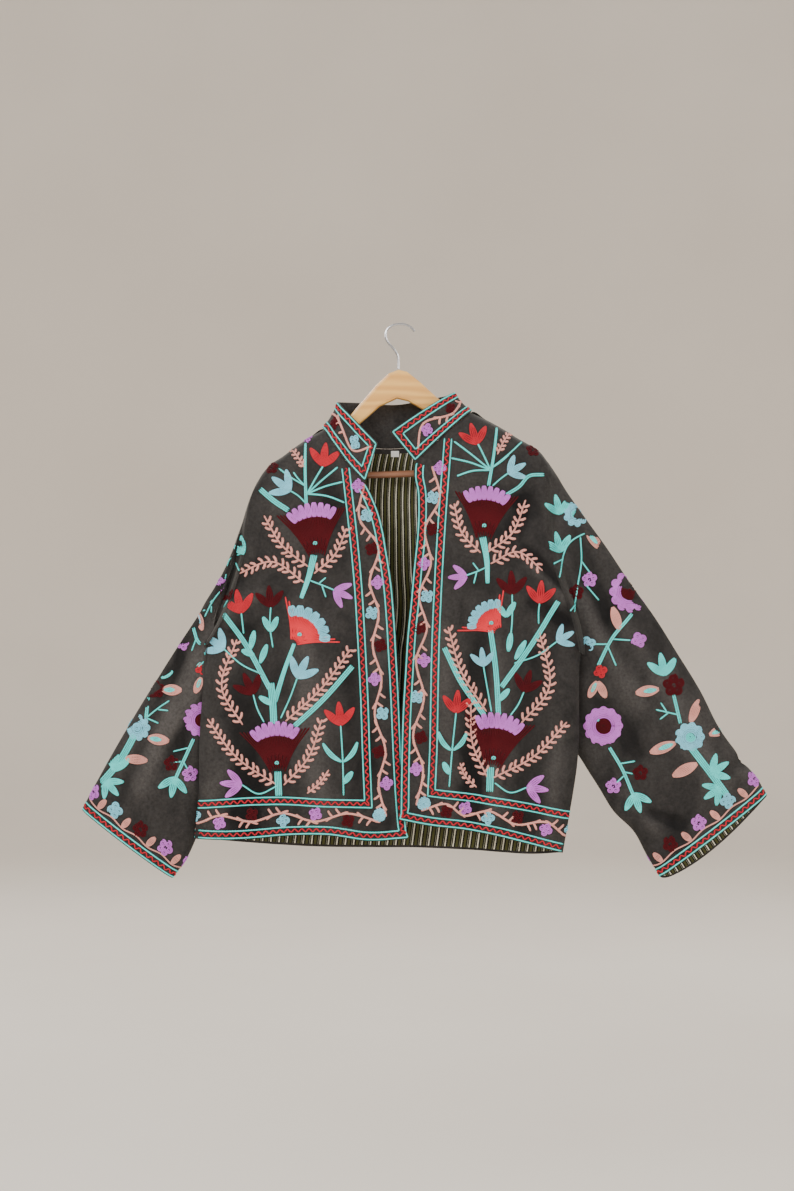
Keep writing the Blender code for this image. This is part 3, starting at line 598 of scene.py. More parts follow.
def shell(name, grid, normals, depth, thickness, facing, ring, material, ridge=None):
    """A closed cloth wall: the face sunk to a depth, the same moved in by its thickness, and rims between."""
    rows, columns = grid.shape[:2]
    sink = np.zeros((rows, columns))
    for place, amount in enumerate(EDGE_SINK):
        sink[[place, -1 - place]] = np.maximum(sink[[place, -1 - place]], amount)
        if not ring:
            sink[:, [place, -1 - place]] = np.maximum(sink[:, [place, -1 - place]], amount)
    sink = (sink * thickness / 2)[..., None]
    outer = grid - normals * (depth + sink)
    inner = grid - normals * (depth + thickness - sink)
    number = np.arange(rows * columns).reshape(rows, columns)
    if ring:
        number = np.concatenate([number, number[:, :1]], axis=1)
    quads = np.stack([number[:-1, :-1], number[:-1, 1:], number[1:, 1:], number[1:, :-1]], axis=-1).reshape(-1, 4)
    other = rows * columns
    edges = [(number[0, 1:], number[0, :-1]), (number[-1, :-1], number[-1, 1:])]
    if not ring:
        edges += [(number[:-1, 0], number[1:, 0]), (number[1:, -1], number[:-1, -1])]
    rims = [np.stack([start, end, end + other, start + other], axis=-1) for start, end in edges]
    faces = np.concatenate([quads, quads[:, ::-1] + other] + rims)
    if facing < 0:
        faces = faces[:, ::-1]
    flat = cloth_map(grid).reshape(-1, 2)
    points = np.concatenate([outer.reshape(-1, 3), inner.reshape(-1, 3)])
    item = put_mesh(name, points, faces, np.concatenate([flat, flat]), material)
    item.data.set_sharp_from_angle(angle=math.radians(SHARP_EDGE))
    if ridge is not None:
        # Crease heights, which the velvet turns into a painted highlight on fold ridges and painted shade in their
        # troughs
        layer = item.data.attributes.new("ridge", "FLOAT", "POINT")
        layer.data.foreach_set("value", np.tile(ridge.ravel(), 2).astype(np.float32))
    return item


# %% [markdown]
# ## Finishes
#
# Velvet is a dark cotton whose upright pile catches light at grazing angles. Principled sheen gives that
# shine, and brushed patches, where the pile leans another way, change its colour and roughness. A painted
# highlight lies along the ridges of folds, and painted shade in their troughs. The lining is a striped cotton,
# the yarn is a matt wool with painted shade between its strands, and the hanger is pale pine with a darker bar.

# %% Small helpers for shader nodes
def new_material(name):
    material = bpy.data.materials.new(name)
    material.use_nodes = True
    tree = material.node_tree
    return material, tree, tree.nodes["Principled BSDF"]


def add_node(tree, kind, settings=None, **inputs):
    """Adds a shader node, sets its properties and plain inputs, and links those inputs that are sockets.

    An input is given by its name, or by its number after the letter i."""
    made = tree.nodes.new("ShaderNode" + kind)
    for key, value in (settings or {}).items():
        setattr(made, key, value)
    for key, value in inputs.items():
        socket = made.inputs[int(key[1:]) if key[1:].isdigit() else key.replace("_", " ")]
        if isinstance(value, bpy.types.NodeSocket):
            tree.links.new(value, socket)
        else:
            socket.default_value = value
    return made


def maths(tree, operation, first, second=0.0, clamp=False):
    made = add_node(tree, "Math", {"operation": operation, "use_clamp": clamp}, i0=first, i1=second)
    return made.outputs[0]


def blend(tree, share, first, second):
    """Mixes two colours by a share."""
    made = add_node(tree, "Mix", {"data_type": "RGBA"}, i0=share, i6=first, i7=second)
    return made.outputs[2]


def spread(tree, value, low, high, new_low=0.0, new_high=1.0):
    """Stretches or squeezes a value's range to another one."""
    return add_node(tree, "MapRange", Value=value, From_Min=low, From_Max=high, To_Min=new_low,
                    To_Max=new_high).outputs[0]


def paint(tree, shader, colour, strength=None):
    """Gives the shader its colour, made darker or lighter by a strength that varies."""
    if strength is not None:
        colour = add_node(tree, "VectorMath", {"operation": "SCALE"}, i0=colour, Scale=strength).outputs[0]
    tree.links.new(colour, shader.inputs["Base Color"])


def raise_surface(tree, shader, strength, distance, height):
    """Bends the shader's normals as a surface of this height would, at most a distance in metres."""
    bump = add_node(tree, "Bump", Strength=strength, Distance=distance, Height=height)
    tree.links.new(bump.outputs[0], shader.inputs["Normal"])


def finish(shader, **values):
    """Sets the shader's own sockets to values that are the same all over the surface."""
    for key, value in values.items():
        shader.inputs[key.replace("_", " ")].default_value = value


def object_place(tree):
    return add_node(tree, "TexCoord").outputs["Object"]


def srgb(red, green, blue):
    """A linear colour from the three values, 0 to 255, that a colour picker shows."""
    shown = np.array([red, green, blue]) / 255.0
    linear = np.where(shown <= 0.04045, shown / 12.92, ((shown + 0.055) / 1.055) ** 2.4)
    return (*linear.tolist(), 1.0)


def new_group(name, inputs, outputs):
    """An empty shader node group with named sockets."""
    group = bpy.data.node_groups.new(name, "ShaderNodeTree")
    for label, kind in inputs:
        group.interface.new_socket(label, in_out="INPUT", socket_type=kind)
    for label, kind in outputs:
        group.interface.new_socket(label, in_out="OUTPUT", socket_type=kind)
    return group, group.nodes.new("NodeGroupInput").outputs, group.nodes.new("NodeGroupOutput").inputs


def use_group(tree, group, **inputs):
    return add_node(tree, "Group", {"node_tree": group}, **inputs).outputs


# %% Node group: soft patches, as of brushed pile or worn yarn
FLOAT, VECTOR = "NodeSocketFloat", "NodeSocketVector"

patches, given, result = new_group("soft_patches", [("Vector", VECTOR), ("Scale", FLOAT), ("Stretch", FLOAT)],
                                   [("Large", FLOAT), ("Fine", FLOAT)])
stretch = add_node(patches, "CombineXYZ", X=1.0, Y=1.0, Z=given["Stretch"])
place = add_node(patches, "VectorMath", {"operation": "MULTIPLY"}, i0=given["Vector"], i1=stretch.outputs[0])
large = add_node(patches, "TexNoise", Vector=place.outputs[0], Scale=given["Scale"], Detail=4.0,
                 Roughness=0.62, Distortion=0.6)
finer = maths(patches, "MULTIPLY", given["Scale"], 34.0)
fine = add_node(patches, "TexNoise", Vector=given["Vector"], Scale=finer, Detail=3.0, Roughness=0.7)
patches.links.new(large.outputs["Fac"], result["Large"])
patches.links.new(fine.outputs["Fac"], result["Fine"])

# %% Node group: plain weave, over and under threads at a count per metre
weave, given, result = new_group("plain_weave", [("Vector", VECTOR), ("Threads", FLOAT)], [("Height", FLOAT)])
split = add_node(weave, "SeparateXYZ", Vector=given["Vector"])
turns = maths(weave, "MULTIPLY", given["Threads"], math.tau)
warp, weft = (maths(weave, "SINE", maths(weave, "MULTIPLY", split.outputs[each], turns)) for each in (0, 1))
over = maths(weave, "MULTIPLY", warp, weft)
weave.links.new(maths(weave, "MULTIPLY_ADD", over, 0.5), result["Height"])

# %% Velvet
BRUSHED_AND_HIGHLIGHT_GAIN = 1.5


def make_velvet(name, dark, light):
    """Pile that leans in large patches and has a fine hair; painted highlight on fold ridges, painted shade in
    troughs.
    """
    material, tree, shader = new_material(name)
    place = object_place(tree)
    pile = use_group(tree, patches, Vector=place, Scale=7.0, Stretch=0.45)
    brushed = use_group(tree, patches, Vector=place, Scale=26.0, Stretch=0.7)
    mixed = blend(tree, spread(tree, pile["Large"], 0.38, 0.68), srgb(*dark), srgb(*light))
    ridge = add_node(tree, "Attribute", {"attribute_name": "ridge"})
    # Painted highlight on the ridges of folds and painted shade in their troughs, from the crease heights
    high = maths(tree, "MULTIPLY", spread(tree, ridge.outputs["Fac"], -3.5, 4.5, -0.45, 1.0), 0.8)
    patchy = maths(tree, "MULTIPLY", spread(tree, brushed["Large"], 0.35, 0.75), 0.35)
    # Lighter colour that both the brushed patches and the painted fold highlight lean to
    brushed_and_highlight_colour = srgb(*[value * BRUSHED_AND_HIGHLIGHT_GAIN for value in light])
    brushed_and_highlighted = blend(tree, maths(tree, "ADD", patchy, high, clamp=True), mixed, brushed_and_highlight_colour)
    paint(tree, shader, brushed_and_highlighted, spread(tree, pile["Fine"], 0.3, 0.7, 0.72, 1.3))
    tree.links.new(spread(tree, pile["Large"], 0.3, 0.7, 0.78, 0.95), shader.inputs["Roughness"])
    short, long = maths(tree, "MULTIPLY", pile["Fine"], 0.5), maths(tree, "MULTIPLY", brushed["Fine"], 0.35)
    hair = maths(tree, "ADD", short, long)
    raise_surface(tree, shader, 0.5, 0.0012, hair)
    finish(shader, Specular_IOR_Level=0.18, Sheen_Weight=0.36, Sheen_Roughness=0.36,
           Sheen_Tint=srgb(196, 194, 186))
    return material


velvet = make_velvet("velvet", (13, 12, 13), (48, 46, 45))

# %% Striped lining, with bands read across the cloth's own map
STRIPE = 0.0118
BANDS = [(0.00, (232, 227, 205)), (0.15, (26, 24, 22)), (0.34, (78, 78, 42)), (0.64, (26, 24, 22)),
         (0.80, (150, 150, 128)), (0.86, (26, 24, 22))]

lining, tree, shader = new_material("striped_lining")
uv = add_node(tree, "TexCoord").outputs["UV"]
split = add_node(tree, "SeparateXYZ", Vector=uv)
ragged = add_node(tree, "TexNoise", Vector=uv, Scale=900.0, Detail=1.0)
shift = maths(tree, "MULTIPLY", maths(tree, "SUBTRACT", ragged.outputs["Fac"], 0.5), 0.08)
across = maths(tree, "FRACT", maths(tree, "ADD", maths(tree, "DIVIDE", split.outputs[0], STRIPE), shift))
ramp = add_node(tree, "ValToRGB", Fac=across)
ramp.color_ramp.interpolation = "CONSTANT"
while len(ramp.color_ramp.elements) < len(BANDS):
    ramp.color_ramp.elements.new(0.5)
for element, (position, colour) in zip(ramp.color_ramp.elements, BANDS):
    element.position = position
    element.color = srgb(*colour)
faded = add_node(tree, "TexNoise", Vector=uv, Scale=60.0, Detail=4.0)
paint(tree, shader, ramp.outputs[0], spread(tree, faded.outputs["Fac"], 0.3, 0.7, 0.8, 1.1))
threads = use_group(tree, weave, Vector=uv, Threads=1100.0)
raise_surface(tree, shader, 0.4, 0.0003, threads["Height"])
finish(shader, Roughness=0.85, Specular_IOR_Level=0.2, Sheen_Weight=0.12)

# %% [markdown]
# ## Chain-stitch yarn
#
# Each stitch is a loop of wool that the next one passes through, so a row looks like a plait of small teardrops.
# The rows are real geometry. This group adds the two strands of each loop from the row's own map, where one
# unit along is one stitch and -1 to 1 is across. The strands part from the middle and meet at the next stitch.

# %% Node group: the strands of a chain stitch
chain, given, result = new_group("chain_strands", [("Vector", VECTOR)], [("Height", FLOAT)])
split = add_node(chain, "SeparateXYZ", Vector=given["Vector"])
along = maths(chain, "FRACT", split.outputs[0])
part = maths(chain, "MULTIPLY", maths(chain, "SINE", maths(chain, "MULTIPLY", along, math.pi)), 0.52)
off = maths(chain, "ABSOLUTE", maths(chain, "SUBTRACT", maths(chain, "ABSOLUTE", split.outputs[1]), part))
away = maths(chain, "DIVIDE", off, 0.42, clamp=True)
strand = maths(chain, "SUBTRACT", 1.0, maths(chain, "POWER", away, 2.0))
slant = maths(chain, "ADD", maths(chain, "MULTIPLY", split.outputs[0], 4.0), maths(chain, "MULTIPLY", off, 2.0))
twist = maths(chain, "SINE", maths(chain, "MULTIPLY", slant, math.tau))
chain.links.new(maths(chain, "ADD", strand, maths(chain, "MULTIPLY", twist, 0.10)), result["Height"])


# %% Wool yarn
GAP_SHADE = 0.62


def make_wool(name, colour):
    """Wool of one colour: lit strands over painted shade in the gaps, uneven dye and a fine fuzz."""
    material, tree, shader = new_material(name)
    coordinates = add_node(tree, "TexCoord")
    loops = use_group(tree, chain, Vector=coordinates.outputs["UV"])
    fuzz = use_group(tree, patches, Vector=coordinates.outputs["Object"], Scale=40.0, Stretch=1.0)
    lit = srgb(*colour)
    # Darker copy of the yarn for the gaps between strands: painted shade
    painted_gap_shade = srgb(*[value * GAP_SHADE for value in colour])
    shade = blend(tree, spread(tree, loops["Height"], -0.2, 0.75), painted_gap_shade, lit)
    paint(tree, shader, shade, spread(tree, fuzz["Large"], 0.3, 0.7, 0.86, 1.1))
    height = maths(tree, "ADD", loops["Height"], maths(tree, "MULTIPLY", fuzz["Fine"], 0.3))
    raise_surface(tree, shader, 0.7, 0.0007, height)
    finish(shader, Roughness=0.82, Specular_IOR_Level=0.25, Sheen_Weight=0.15, Sheen_Roughness=0.6,
           Sheen_Tint=lit)
    return material


YARNS = {"turquoise": (92, 248, 244), "peach": (242, 168, 156), "lilac": (222, 124, 236),
         "blue": (144, 230, 255), "maroon": (82, 0, 12), "coral": (255, 58, 70), "red": (214, 44, 58)}
wools = {name: make_wool("wool_" + name, colour) for name, colour in YARNS.items()}
print(len(wools), "yarns")

# %% Wood, steel and the label's cloth
def make_wood(name, light, dark, rings, gloss):
    """Grain that runs along X: thin bands of a wave stretched along the wood, with fine pores."""
    material, tree, shader = new_material(name)
    drawn = add_node(tree, "Mapping", Vector=object_place(tree), Scale=(0.9, 6.0, 9.0)).outputs[0]
    bent = add_node(tree, "TexNoise", Vector=drawn, Scale=3.0, Detail=3.0)
    bend = add_node(tree, "VectorMath", {"operation": "SCALE"}, i0=bent.outputs["Color"], Scale=0.5)
    moved = add_node(tree, "VectorMath", {"operation": "ADD"}, i0=drawn, i1=bend.outputs[0])
    grain = add_node(tree, "TexWave", {"bands_direction": "Z"}, Vector=moved.outputs[0], Scale=rings,
                     Distortion=2.0, Detail=3.0)
    pores = add_node(tree, "TexNoise", Vector=drawn, Scale=70.0, Detail=2.0)
    colour = blend(tree, maths(tree, "MULTIPLY", grain.outputs["Fac"], 0.7), srgb(*light), srgb(*dark))
    paint(tree, shader, blend(tree, maths(tree, "MULTIPLY", pores.outputs["Fac"], 0.25), colour, srgb(*dark)))
    raise_surface(tree, shader, 0.15, 0.0004, pores.outputs["Fac"])
    finish(shader, Roughness=0.42, Coat_Weight=gloss, Coat_Roughness=0.25)
    return material


pine = make_wood("pine", (246, 192, 104), (214, 150, 74), 2.2, 0.25)
bar_wood = make_wood("bar_wood", (150, 98, 66), (104, 62, 40), 3.0, 0.2)

steel, tree, shader = new_material("steel")
smear = add_node(tree, "TexNoise", Vector=object_place(tree), Scale=160.0, Detail=4.0).outputs["Fac"]
paint(tree, shader, blend(tree, smear, srgb(196, 196, 198), srgb(150, 150, 153)))
tree.links.new(spread(tree, smear, 0.3, 0.7, 0.18, 0.38), shader.inputs["Roughness"])
finish(shader, Metallic=1.0)

tab_cloth, tree, shader = new_material("label_cloth")
upright = add_node(tree, "Mapping", Vector=object_place(tree), Rotation=(math.radians(90.0), 0.0, 0.0))
threads = use_group(tree, weave, Vector=upright.outputs[0], Threads=1600.0)
raise_surface(tree, shader, 0.4, 0.0002, threads["Height"])
# The low points of the weave get a darker white: painted shade between the threads
paint(tree, shader, blend(tree, threads["Height"], srgb(226, 226, 222), srgb(245, 245, 242)))
finish(shader, Roughness=0.8)


# %% [markdown]
# ## Dressing the panels
#
# Each panel is refined, creased and given its shell, and the shell replaces the plain solid. The lining under
# it is a second, thinner shell made from every second point, a little inside.

# %% Make the dense panels
VELVET = 1.7
LINING = 0.9
UNDER = 2.3

coarse = {"front_right": front_grid("right"), "front_left": front_grid("left"), "back": back_grid()}
facing = {"front_right": 1.0, "front_left": -1.0, "back": 1.0, "sleeve_right": -1.0, "sleeve_left": 1.0,
          "collar": 1.0}
for side, first, second in (("right", 0, 1), ("left", -1, -2)):
    armhole = armhole_ring(coarse["front_" + side], coarse["back"][:, first], coarse["back"][:, second])
    coarse["sleeve_" + side] = sleeve_grid(side, armhole)
coarse["collar"] = collar_grid(coarse["front_right"], coarse["back"], coarse["front_left"])

DENSE = {"front_right": (150, 78), "front_left": (150, 78), "back": (150, 136), "sleeve_right": (120, 128),
         "sleeve_left": (120, 128), "collar": (18, 150)}
TUCK = 4.0
TUCK_IN = 1.2
TUCK_ROW = 8
CUFF_DROP = 15.0
CUFF_DROP_ROWS = 0.72
CUFF_DROP_POWER = 0.7
CUFF_ROW = -12


def dropped_cuff(grid, normals):
    """The back of the left cuff hangs lower, so the lining shows under its front: rows near the cuff slide down
    the sleeve by the drop, times a smooth step down the rows and half a sine wave over the columns at the back."""
    back = normals[..., 1].mean(axis=0) > 0
    first = int(np.flatnonzero(back & ~np.roll(back, 1))[0])
    place = ((np.arange(grid.shape[1]) - first) % grid.shape[1]) / back.sum()
    across = np.where(place < 1.0, np.sin(math.pi * np.clip(place, 0.0, 1.0)) ** CUFF_DROP_POWER, 0.0)
    rows = np.linspace(0.0, 1.0, grid.shape[0])
    down = smooth((rows - CUFF_DROP_ROWS) / (1.0 - CUFF_DROP_ROWS))
    way = unit((grid[-1] - grid[CUFF_ROW]).mean(axis=0))
    return grid + CUFF_DROP * (down[:, None] * across)[..., None] * way


cloths, ridges = {}, {}
for name, (rows, columns) in DENSE.items():
    ring = name.startswith("sleeve")
    grid = refine(coarse[name], rows, columns, ring)
    normals = dense_normals(grid, facing[name], ring)
    if name == "sleeve_left":
        grid = dropped_cuff(grid, normals)
    grid, ridges[name] = creased(name, grid, normals)
    if ring:
        # A sleeve's head reaches under the body, so no gap opens at the seam
        grid[0] += TUCK * unit(grid[0] - grid[TUCK_ROW]) - TUCK_IN * normals[0]
    cloths[name] = (grid, dense_normals(grid, facing[name], ring), ring)
    print(name, grid.shape[:2])

# %% Shells and linings
LINING_FROM = {"front_right": 6, "front_left": 6, "back": 4, "sleeve_right": 84, "sleeve_left": 84}
LINING_END = 3
WALL = {"collar": 2.8}


velvets, linings = {}, {}
for name, (grid, normals, ring) in cloths.items():
    wall = WALL.get(name, VELVET)
    velvets[name] = shell(name + "_velvet", grid, normals, 0.0, wall, facing[name], ring, velvet, ridges[name])
    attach(velvets[name], "root")
    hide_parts(name)
    if name not in LINING_FROM:
        continue
    rows = np.append(np.arange(LINING_FROM[name], len(grid) - LINING_END - 1, 2), len(grid) - LINING_END)
    inside = grid[rows, ::2]
    inward = normals[rows, ::2]
    if not ring:
        inside, inward = inside[:, 1:-1], inward[:, 1:-1]
    linings[name] = shell(name + "_stripes", inside, inward, UNDER, LINING, facing[name], ring, lining)
    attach(linings[name], "root")
    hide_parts(name + "_lining")


# %% [markdown]
# ## Charting the embroidery
#
# The needlework is placed on a chart over the jacket's front view. One square is one pixel of the photograph,
# 1.45 mm on the jacket, and places are read from it. Motifs are common ones of this craft: fan-shaped
# blossoms, tulips, daisies, ferns and leafy stems inside a border of a running vine. Each is a function that
# draws rows of stitches. A row is a smooth line with a width and a yarn.

# %% The chart and its rows
CHART_SQUARE = 1.45
CHART_ZERO = np.array([402.0, 318.0])
ROW_PITCH = 2.6
ROW_WIDTH = 3.1
BRAID_WIDTH = 2.9
STITCH = 4.0
LINE_STEP = 1.5
PETAL_STEP = 1.6


def chart(*points):
    """Millimetres on the front view, x and z, of points given in squares of the chart."""
    return (np.array(points, dtype=float).reshape(-1, 2) - CHART_ZERO) * (CHART_SQUARE, -CHART_SQUARE)


def curve(knots, step=LINE_STEP):
    """A smooth line through a few points, with a point every step or so."""
    knots = np.asarray(knots, dtype=float)
    if len(knots) == 2:
        run = knots[1] - knots[0]
        return knots[0] + np.linspace(0.0, 1.0, max(3, int(np.linalg.norm(run) / step)))[:, None] * run
    length = np.linalg.norm(np.diff(knots, axis=0), axis=1).sum()
    return through(knots, np.linspace(0.0, 1.0, max(4, int(length / step))))


def run_length(line):
    """Distance along a line from its start, at each of its points."""
    return np.concatenate([[0.0], np.cumsum(np.linalg.norm(np.diff(line, axis=0), axis=-1))])


def turned(vector, degrees):
    """Vectors turned to the left."""
    angle = np.radians(degrees)
    x, z = np.asarray(vector, dtype=float).T
    return np.stack([x * np.cos(angle) - z * np.sin(angle), x * np.sin(angle) + z * np.cos(angle)], axis=-1)


def sideways(line):
    """Unit vectors to the left of a line at each of its points."""
    run = np.gradient(line, axis=0)
    return turned(run / np.maximum(np.linalg.norm(run, axis=1, keepdims=True), 1e-9), 90.0)


class Needlework:
    """Rows of stitches in millimetres: yarn, line, row width and how high the row lies."""

    def __init__(self, stitch=STITCH):
        self.rows = []
        self.stitch = stitch

    def row(self, line, yarn, width=ROW_WIDTH, lift=0.0):
        self.rows.append((yarn, np.asarray(line, dtype=float), width, lift))

    def stem(self, points, rows=1, yarn="turquoise", width=ROW_WIDTH, ends=(1.0, 1.0)):
        """Parallel rows on both sides of a smooth line, drawn closer at an end whose share is under one."""
        line = curve(chart(*points))
        side = sideways(line)
        spread = np.linspace(ends[0], ends[1], len(line))[:, None]
        for place in (np.arange(rows) - (rows - 1) / 2) * ROW_PITCH:
            self.row(line + side * place * spread, yarn, width)

    def petal(self, base, tip, width, yarn, lift=0.0, power=0.75, bend=0.0):
        """A pointed oval: rows from base to tip that part in the middle by a power of the sine."""
        share = np.linspace(0.0, 1.0, max(5, int(np.linalg.norm(tip - base) / PETAL_STEP)))[:, None]
        run = tip - base
        side = turned(run / np.linalg.norm(run), 90.0)
        middle = base + share * run + side * bend * np.sin(math.pi * share)
        count = max(1, math.ceil(width / ROW_PITCH - 0.15))
        swell = np.sin(math.pi * np.clip(share, 0.04, 0.98)) ** power
        for place in np.linspace(-0.5, 0.5, count) if count > 1 else [0.0]:
            self.row(middle + side * place * (width - ROW_PITCH * 0.8) * swell, yarn, ROW_WIDTH, lift)

    def ring(self, centre, radius, yarn, width=ROW_WIDTH, lift=0.0):
        turn = np.linspace(0.0, math.tau, max(8, int(math.tau * radius / LINE_STEP)))[:, None]
        self.row(centre + radius * np.concatenate([np.cos(turn), np.sin(turn)], axis=1), yarn, width, lift)

    def disc(self, centre, radius, yarn, lift=0.0):
        """A spiral from the middle out, one row's pitch further at each turn."""
        turns = max(1.0, radius / ROW_PITCH)
        turn = np.linspace(0.0, turns, max(10, int(turns * 14)))[:, None]
        reach = (radius - ROW_PITCH * 0.4) * turn / turns
        spiral = reach * np.concatenate([np.cos(turn * math.tau), np.sin(turn * math.tau)], axis=1)
        self.row(centre + spiral, yarn, ROW_WIDTH, lift)

    def fern(self, points, leaf=8.2, gap=7.0, yarn="peach", lean=50.0, stem_width=3.4, leaf_width=5.2):
        """A stem with short leaves in turn on both sides that point towards its tip."""
        line = curve(chart(*points))
        self.row(line, yarn, stem_width)
        length = run_length(line)
        run = -turned(sideways(line), 90.0)
        leaf, gap = leaf * CHART_SQUARE, gap * CHART_SQUARE
        for turn, place in enumerate(np.arange(gap * 0.9, length[-1] - 2.0, gap)):
            at = min(int(np.searchsorted(length, place)), len(line) - 1)
            size = leaf * (1.0 - 0.18 * place / length[-1])
            for side in (-1.0, 1.0):
                aim = turned(run[at], side * (lean + 7.0 * math.sin(place)))
                start = line[max(0, at - (2 if side > 0 else 0))]
                bend = side * 1.2 * turned(aim, 90.0)
                self.row(curve([start, start + aim * size * 0.5 + bend, start + aim * size]), yarn, leaf_width)

    def leaf(self, base, tip, width=5.0, yarn="turquoise", heart=None, bend=0.0):
        """An oval leaf, with a heart of another yarn where the leaf is a wide one."""
        base, tip = chart(base)[0], chart(tip)[0]
        self.petal(base, tip, width * CHART_SQUARE, yarn, power=0.65, bend=bend)
        if heart:
            run = tip - base
            self.petal(base + run * 0.10, base + run * 0.66, width * 0.44 * CHART_SQUARE, heart, lift=0.5)

    def tulip(self, base, tip, yarn, width=0.32, spread=42.0, petals=3):
        """A tulip: pointed petals that fan out from one base, with a rounded foot."""
        base, tip = chart(base)[0], chart(tip)[0]
        run = tip - base
        size = np.linalg.norm(run)
        for turn in np.linspace(-spread, spread, petals):
            reach = 1.0 - 0.06 * abs(turn) / spread
            self.petal(base, base + turned(run, turn) * reach, size * width, yarn, power=0.8)
        self.disc(base + run * 0.22, size * 0.17, yarn, lift=0.2)

    def blossom(self, centre, yarn, size=7.6, petals=4, turn=20.0, eye=None):
        """A small flower: a spiral for each round petal, and a raised one in the middle."""
        centre = chart(centre)[0]
        petal = size * CHART_SQUARE * (0.52 if petals < 5 else 0.46)
        for angle in np.arange(petals) * 360.0 / petals + turn:
            middle = centre + turned(np.array([size * CHART_SQUARE - petal, 0.0]), angle)
            self.disc(middle, petal, yarn)
        self.disc(centre, ROW_PITCH * 0.9, eye or yarn, lift=0.5)

    def daisy(self, centre, size, petals, yarn, heart, heart_share=0.42, eye=None, turn=0.0):
        """A large flower: rounded petals all round a disc, and a small eye of a third yarn."""
        middle = chart(centre)[0]
        size = size * CHART_SQUARE
        round_end = math.pi * size / petals / (1.0 + math.pi / petals) * 1.12
        for angle in np.arange(petals) * 360.0 / petals + turn:
            aim = turned(np.array([1.0, 0.0]), angle)
            self.disc(middle + aim * (size - round_end), round_end, yarn)
        for radius in np.arange(size * heart_share, size - round_end * 0.6, ROW_PITCH):
            self.ring(middle, radius, yarn)
        self.disc(middle, size * heart_share, heart, lift=0.5)
        if eye:
            self.disc(chart(eye)[0], 2.1 * CHART_SQUARE, "turquoise", lift=1.4)

    def fan(self, foot, crown, yarn, edge_yarn, spread=26.0, inner=0.74, tips=38.0, reach=1.04, foot_width=7.0,
            petals=8, dot=0.22):
        """A fan-shaped blossom seen from the side: rays that open from its foot and run longer towards the two
        pointed tips, scalloped petals along the ends in between, and a round knot near the foot."""
        foot, crown = chart(foot)[0], chart(crown)[0]
        axis = crown - foot
        size = np.linalg.norm(axis)
        across = turned(axis / size, 90.0)
        outermost = tips / spread
        half = foot_width * CHART_SQUARE / outermost

        def spot(place, share):
            """A point at a share of the height. Its place is -1 or 1 at the ends of the crown, more at the tips."""
            at = foot + turned(axis, place * spread) * share
            start = foot + across * place * half + axis * 0.03 * (1.0 - place * place)
            return at + (start - foot) * max(0.0, 1.0 - share / inner) ** 1.6

        rays = int(math.radians(2 * tips) * size * inner / ROW_PITCH)
        for number, place in enumerate(np.linspace(-outermost, outermost, rays)):
            further = max(0.0, (abs(place) - 0.9) / (outermost - 0.9)) ** 0.7
            end = inner + 0.03 + (reach - inner) * further
            start = (0.0, 0.22, 0.08, 0.30)[number % 4] * (abs(place) < outermost)
            self.row(curve([spot(place, share) for share in np.linspace(start, end, 7)]), yarn)
        for place in np.linspace(-1.0, 1.0, petals):
            low = foot + turned(axis, place * spread * 0.96) * (inner - 0.02)
            high = foot + turned(axis, place * (spread + 2.0)) * (1.0 - 0.03 * place * place)
            width = math.radians(2 * spread) * size * 0.9 / (petals - 1)
            self.petal(low, high, width, edge_yarn, lift=0.4, power=0.32)
        self.disc(foot + axis * dot, 2.9 * CHART_SQUARE, "turquoise", lift=1.2)

    def zigzag(self, line, yarn="red", high=1.7, wave=7.4):
        """A row that crosses a line from side to side, one bend every half wave, in squares."""
        length = run_length(line)
        at = np.arange(0.0, length[-1], wave * CHART_SQUARE / 4.0)
        middle = np.stack([np.interp(at, length, line[:, axis]) for axis in (0, 1)], axis=1)
        swing = np.array([0.0, 1.0, 0.0, -1.0])[np.arange(len(at)) % 4][:, None] * high * CHART_SQUARE
        self.row(curve(middle + sideways(middle) * swing, 1.4), yarn, BRAID_WIDTH, 0.1)

    def triple(self, line, apart=3.6):
        """The border's braid: a turquoise row, a red zigzag and another turquoise row."""
        side = sideways(line) * apart * CHART_SQUARE
        self.row(line + side, "turquoise", 3.0)
        self.row(line - side, "turquoise", 3.0)
        self.zigzag(line)

    def vine(self, flowers, ends=(1, 1), swing=7.4, line_width=4.5, twig=8.2, twig_width=4.6):
        """A running vine: it bows away from each flower in turn, and throws a forked twig between two flowers.

        Columns of the table: across, down, yarn, and the side on which the vine passes, -1 or 1. An end of 1
        runs on past the last flower, and one of 0 stops there."""
        places = chart(*[(x, y) for x, y, yarn, side in flowers])
        along = np.gradient(places, axis=0)
        normal = turned(along / np.linalg.norm(along, axis=1, keepdims=True), 90.0)
        sides = np.array([side for x, y, yarn, side in flowers])[:, None]
        knots = places + normal * sides * swing * CHART_SQUARE
        before = 2 * places[0] - knots[0] - along[0] * 0.6 * ends[0]
        after = 2 * places[-1] - knots[-1] + along[-1] * 0.6 * ends[1]
        line = curve([*[before] * ends[0], *knots, *[after] * ends[1]])
        parts = len(flowers) - 1 + sum(ends)
        self.row(line, "peach", line_width)
        for number, (x, y, yarn, side) in enumerate(flowers):
            self.blossom((x, y), yarn, 7.8, 4, turn=number * 31.0)
            if number + 1 == len(flowers):
                break
            run = places[number + 1] - places[number]
            run = run / np.linalg.norm(run)
            for share, turns in ((0.36, (40.0, 150.0)), (0.62, (-44.0, 42.0))):
                fork = line[int(len(line) * (number + ends[0] + share) / parts) - 1]
                for turn in turns:
                    end = fork + turned(run, turn * side) * twig * CHART_SQUARE
                    self.row(curve([fork, (fork + end) / 2 + run * 0.8, end]), "peach", twig_width)


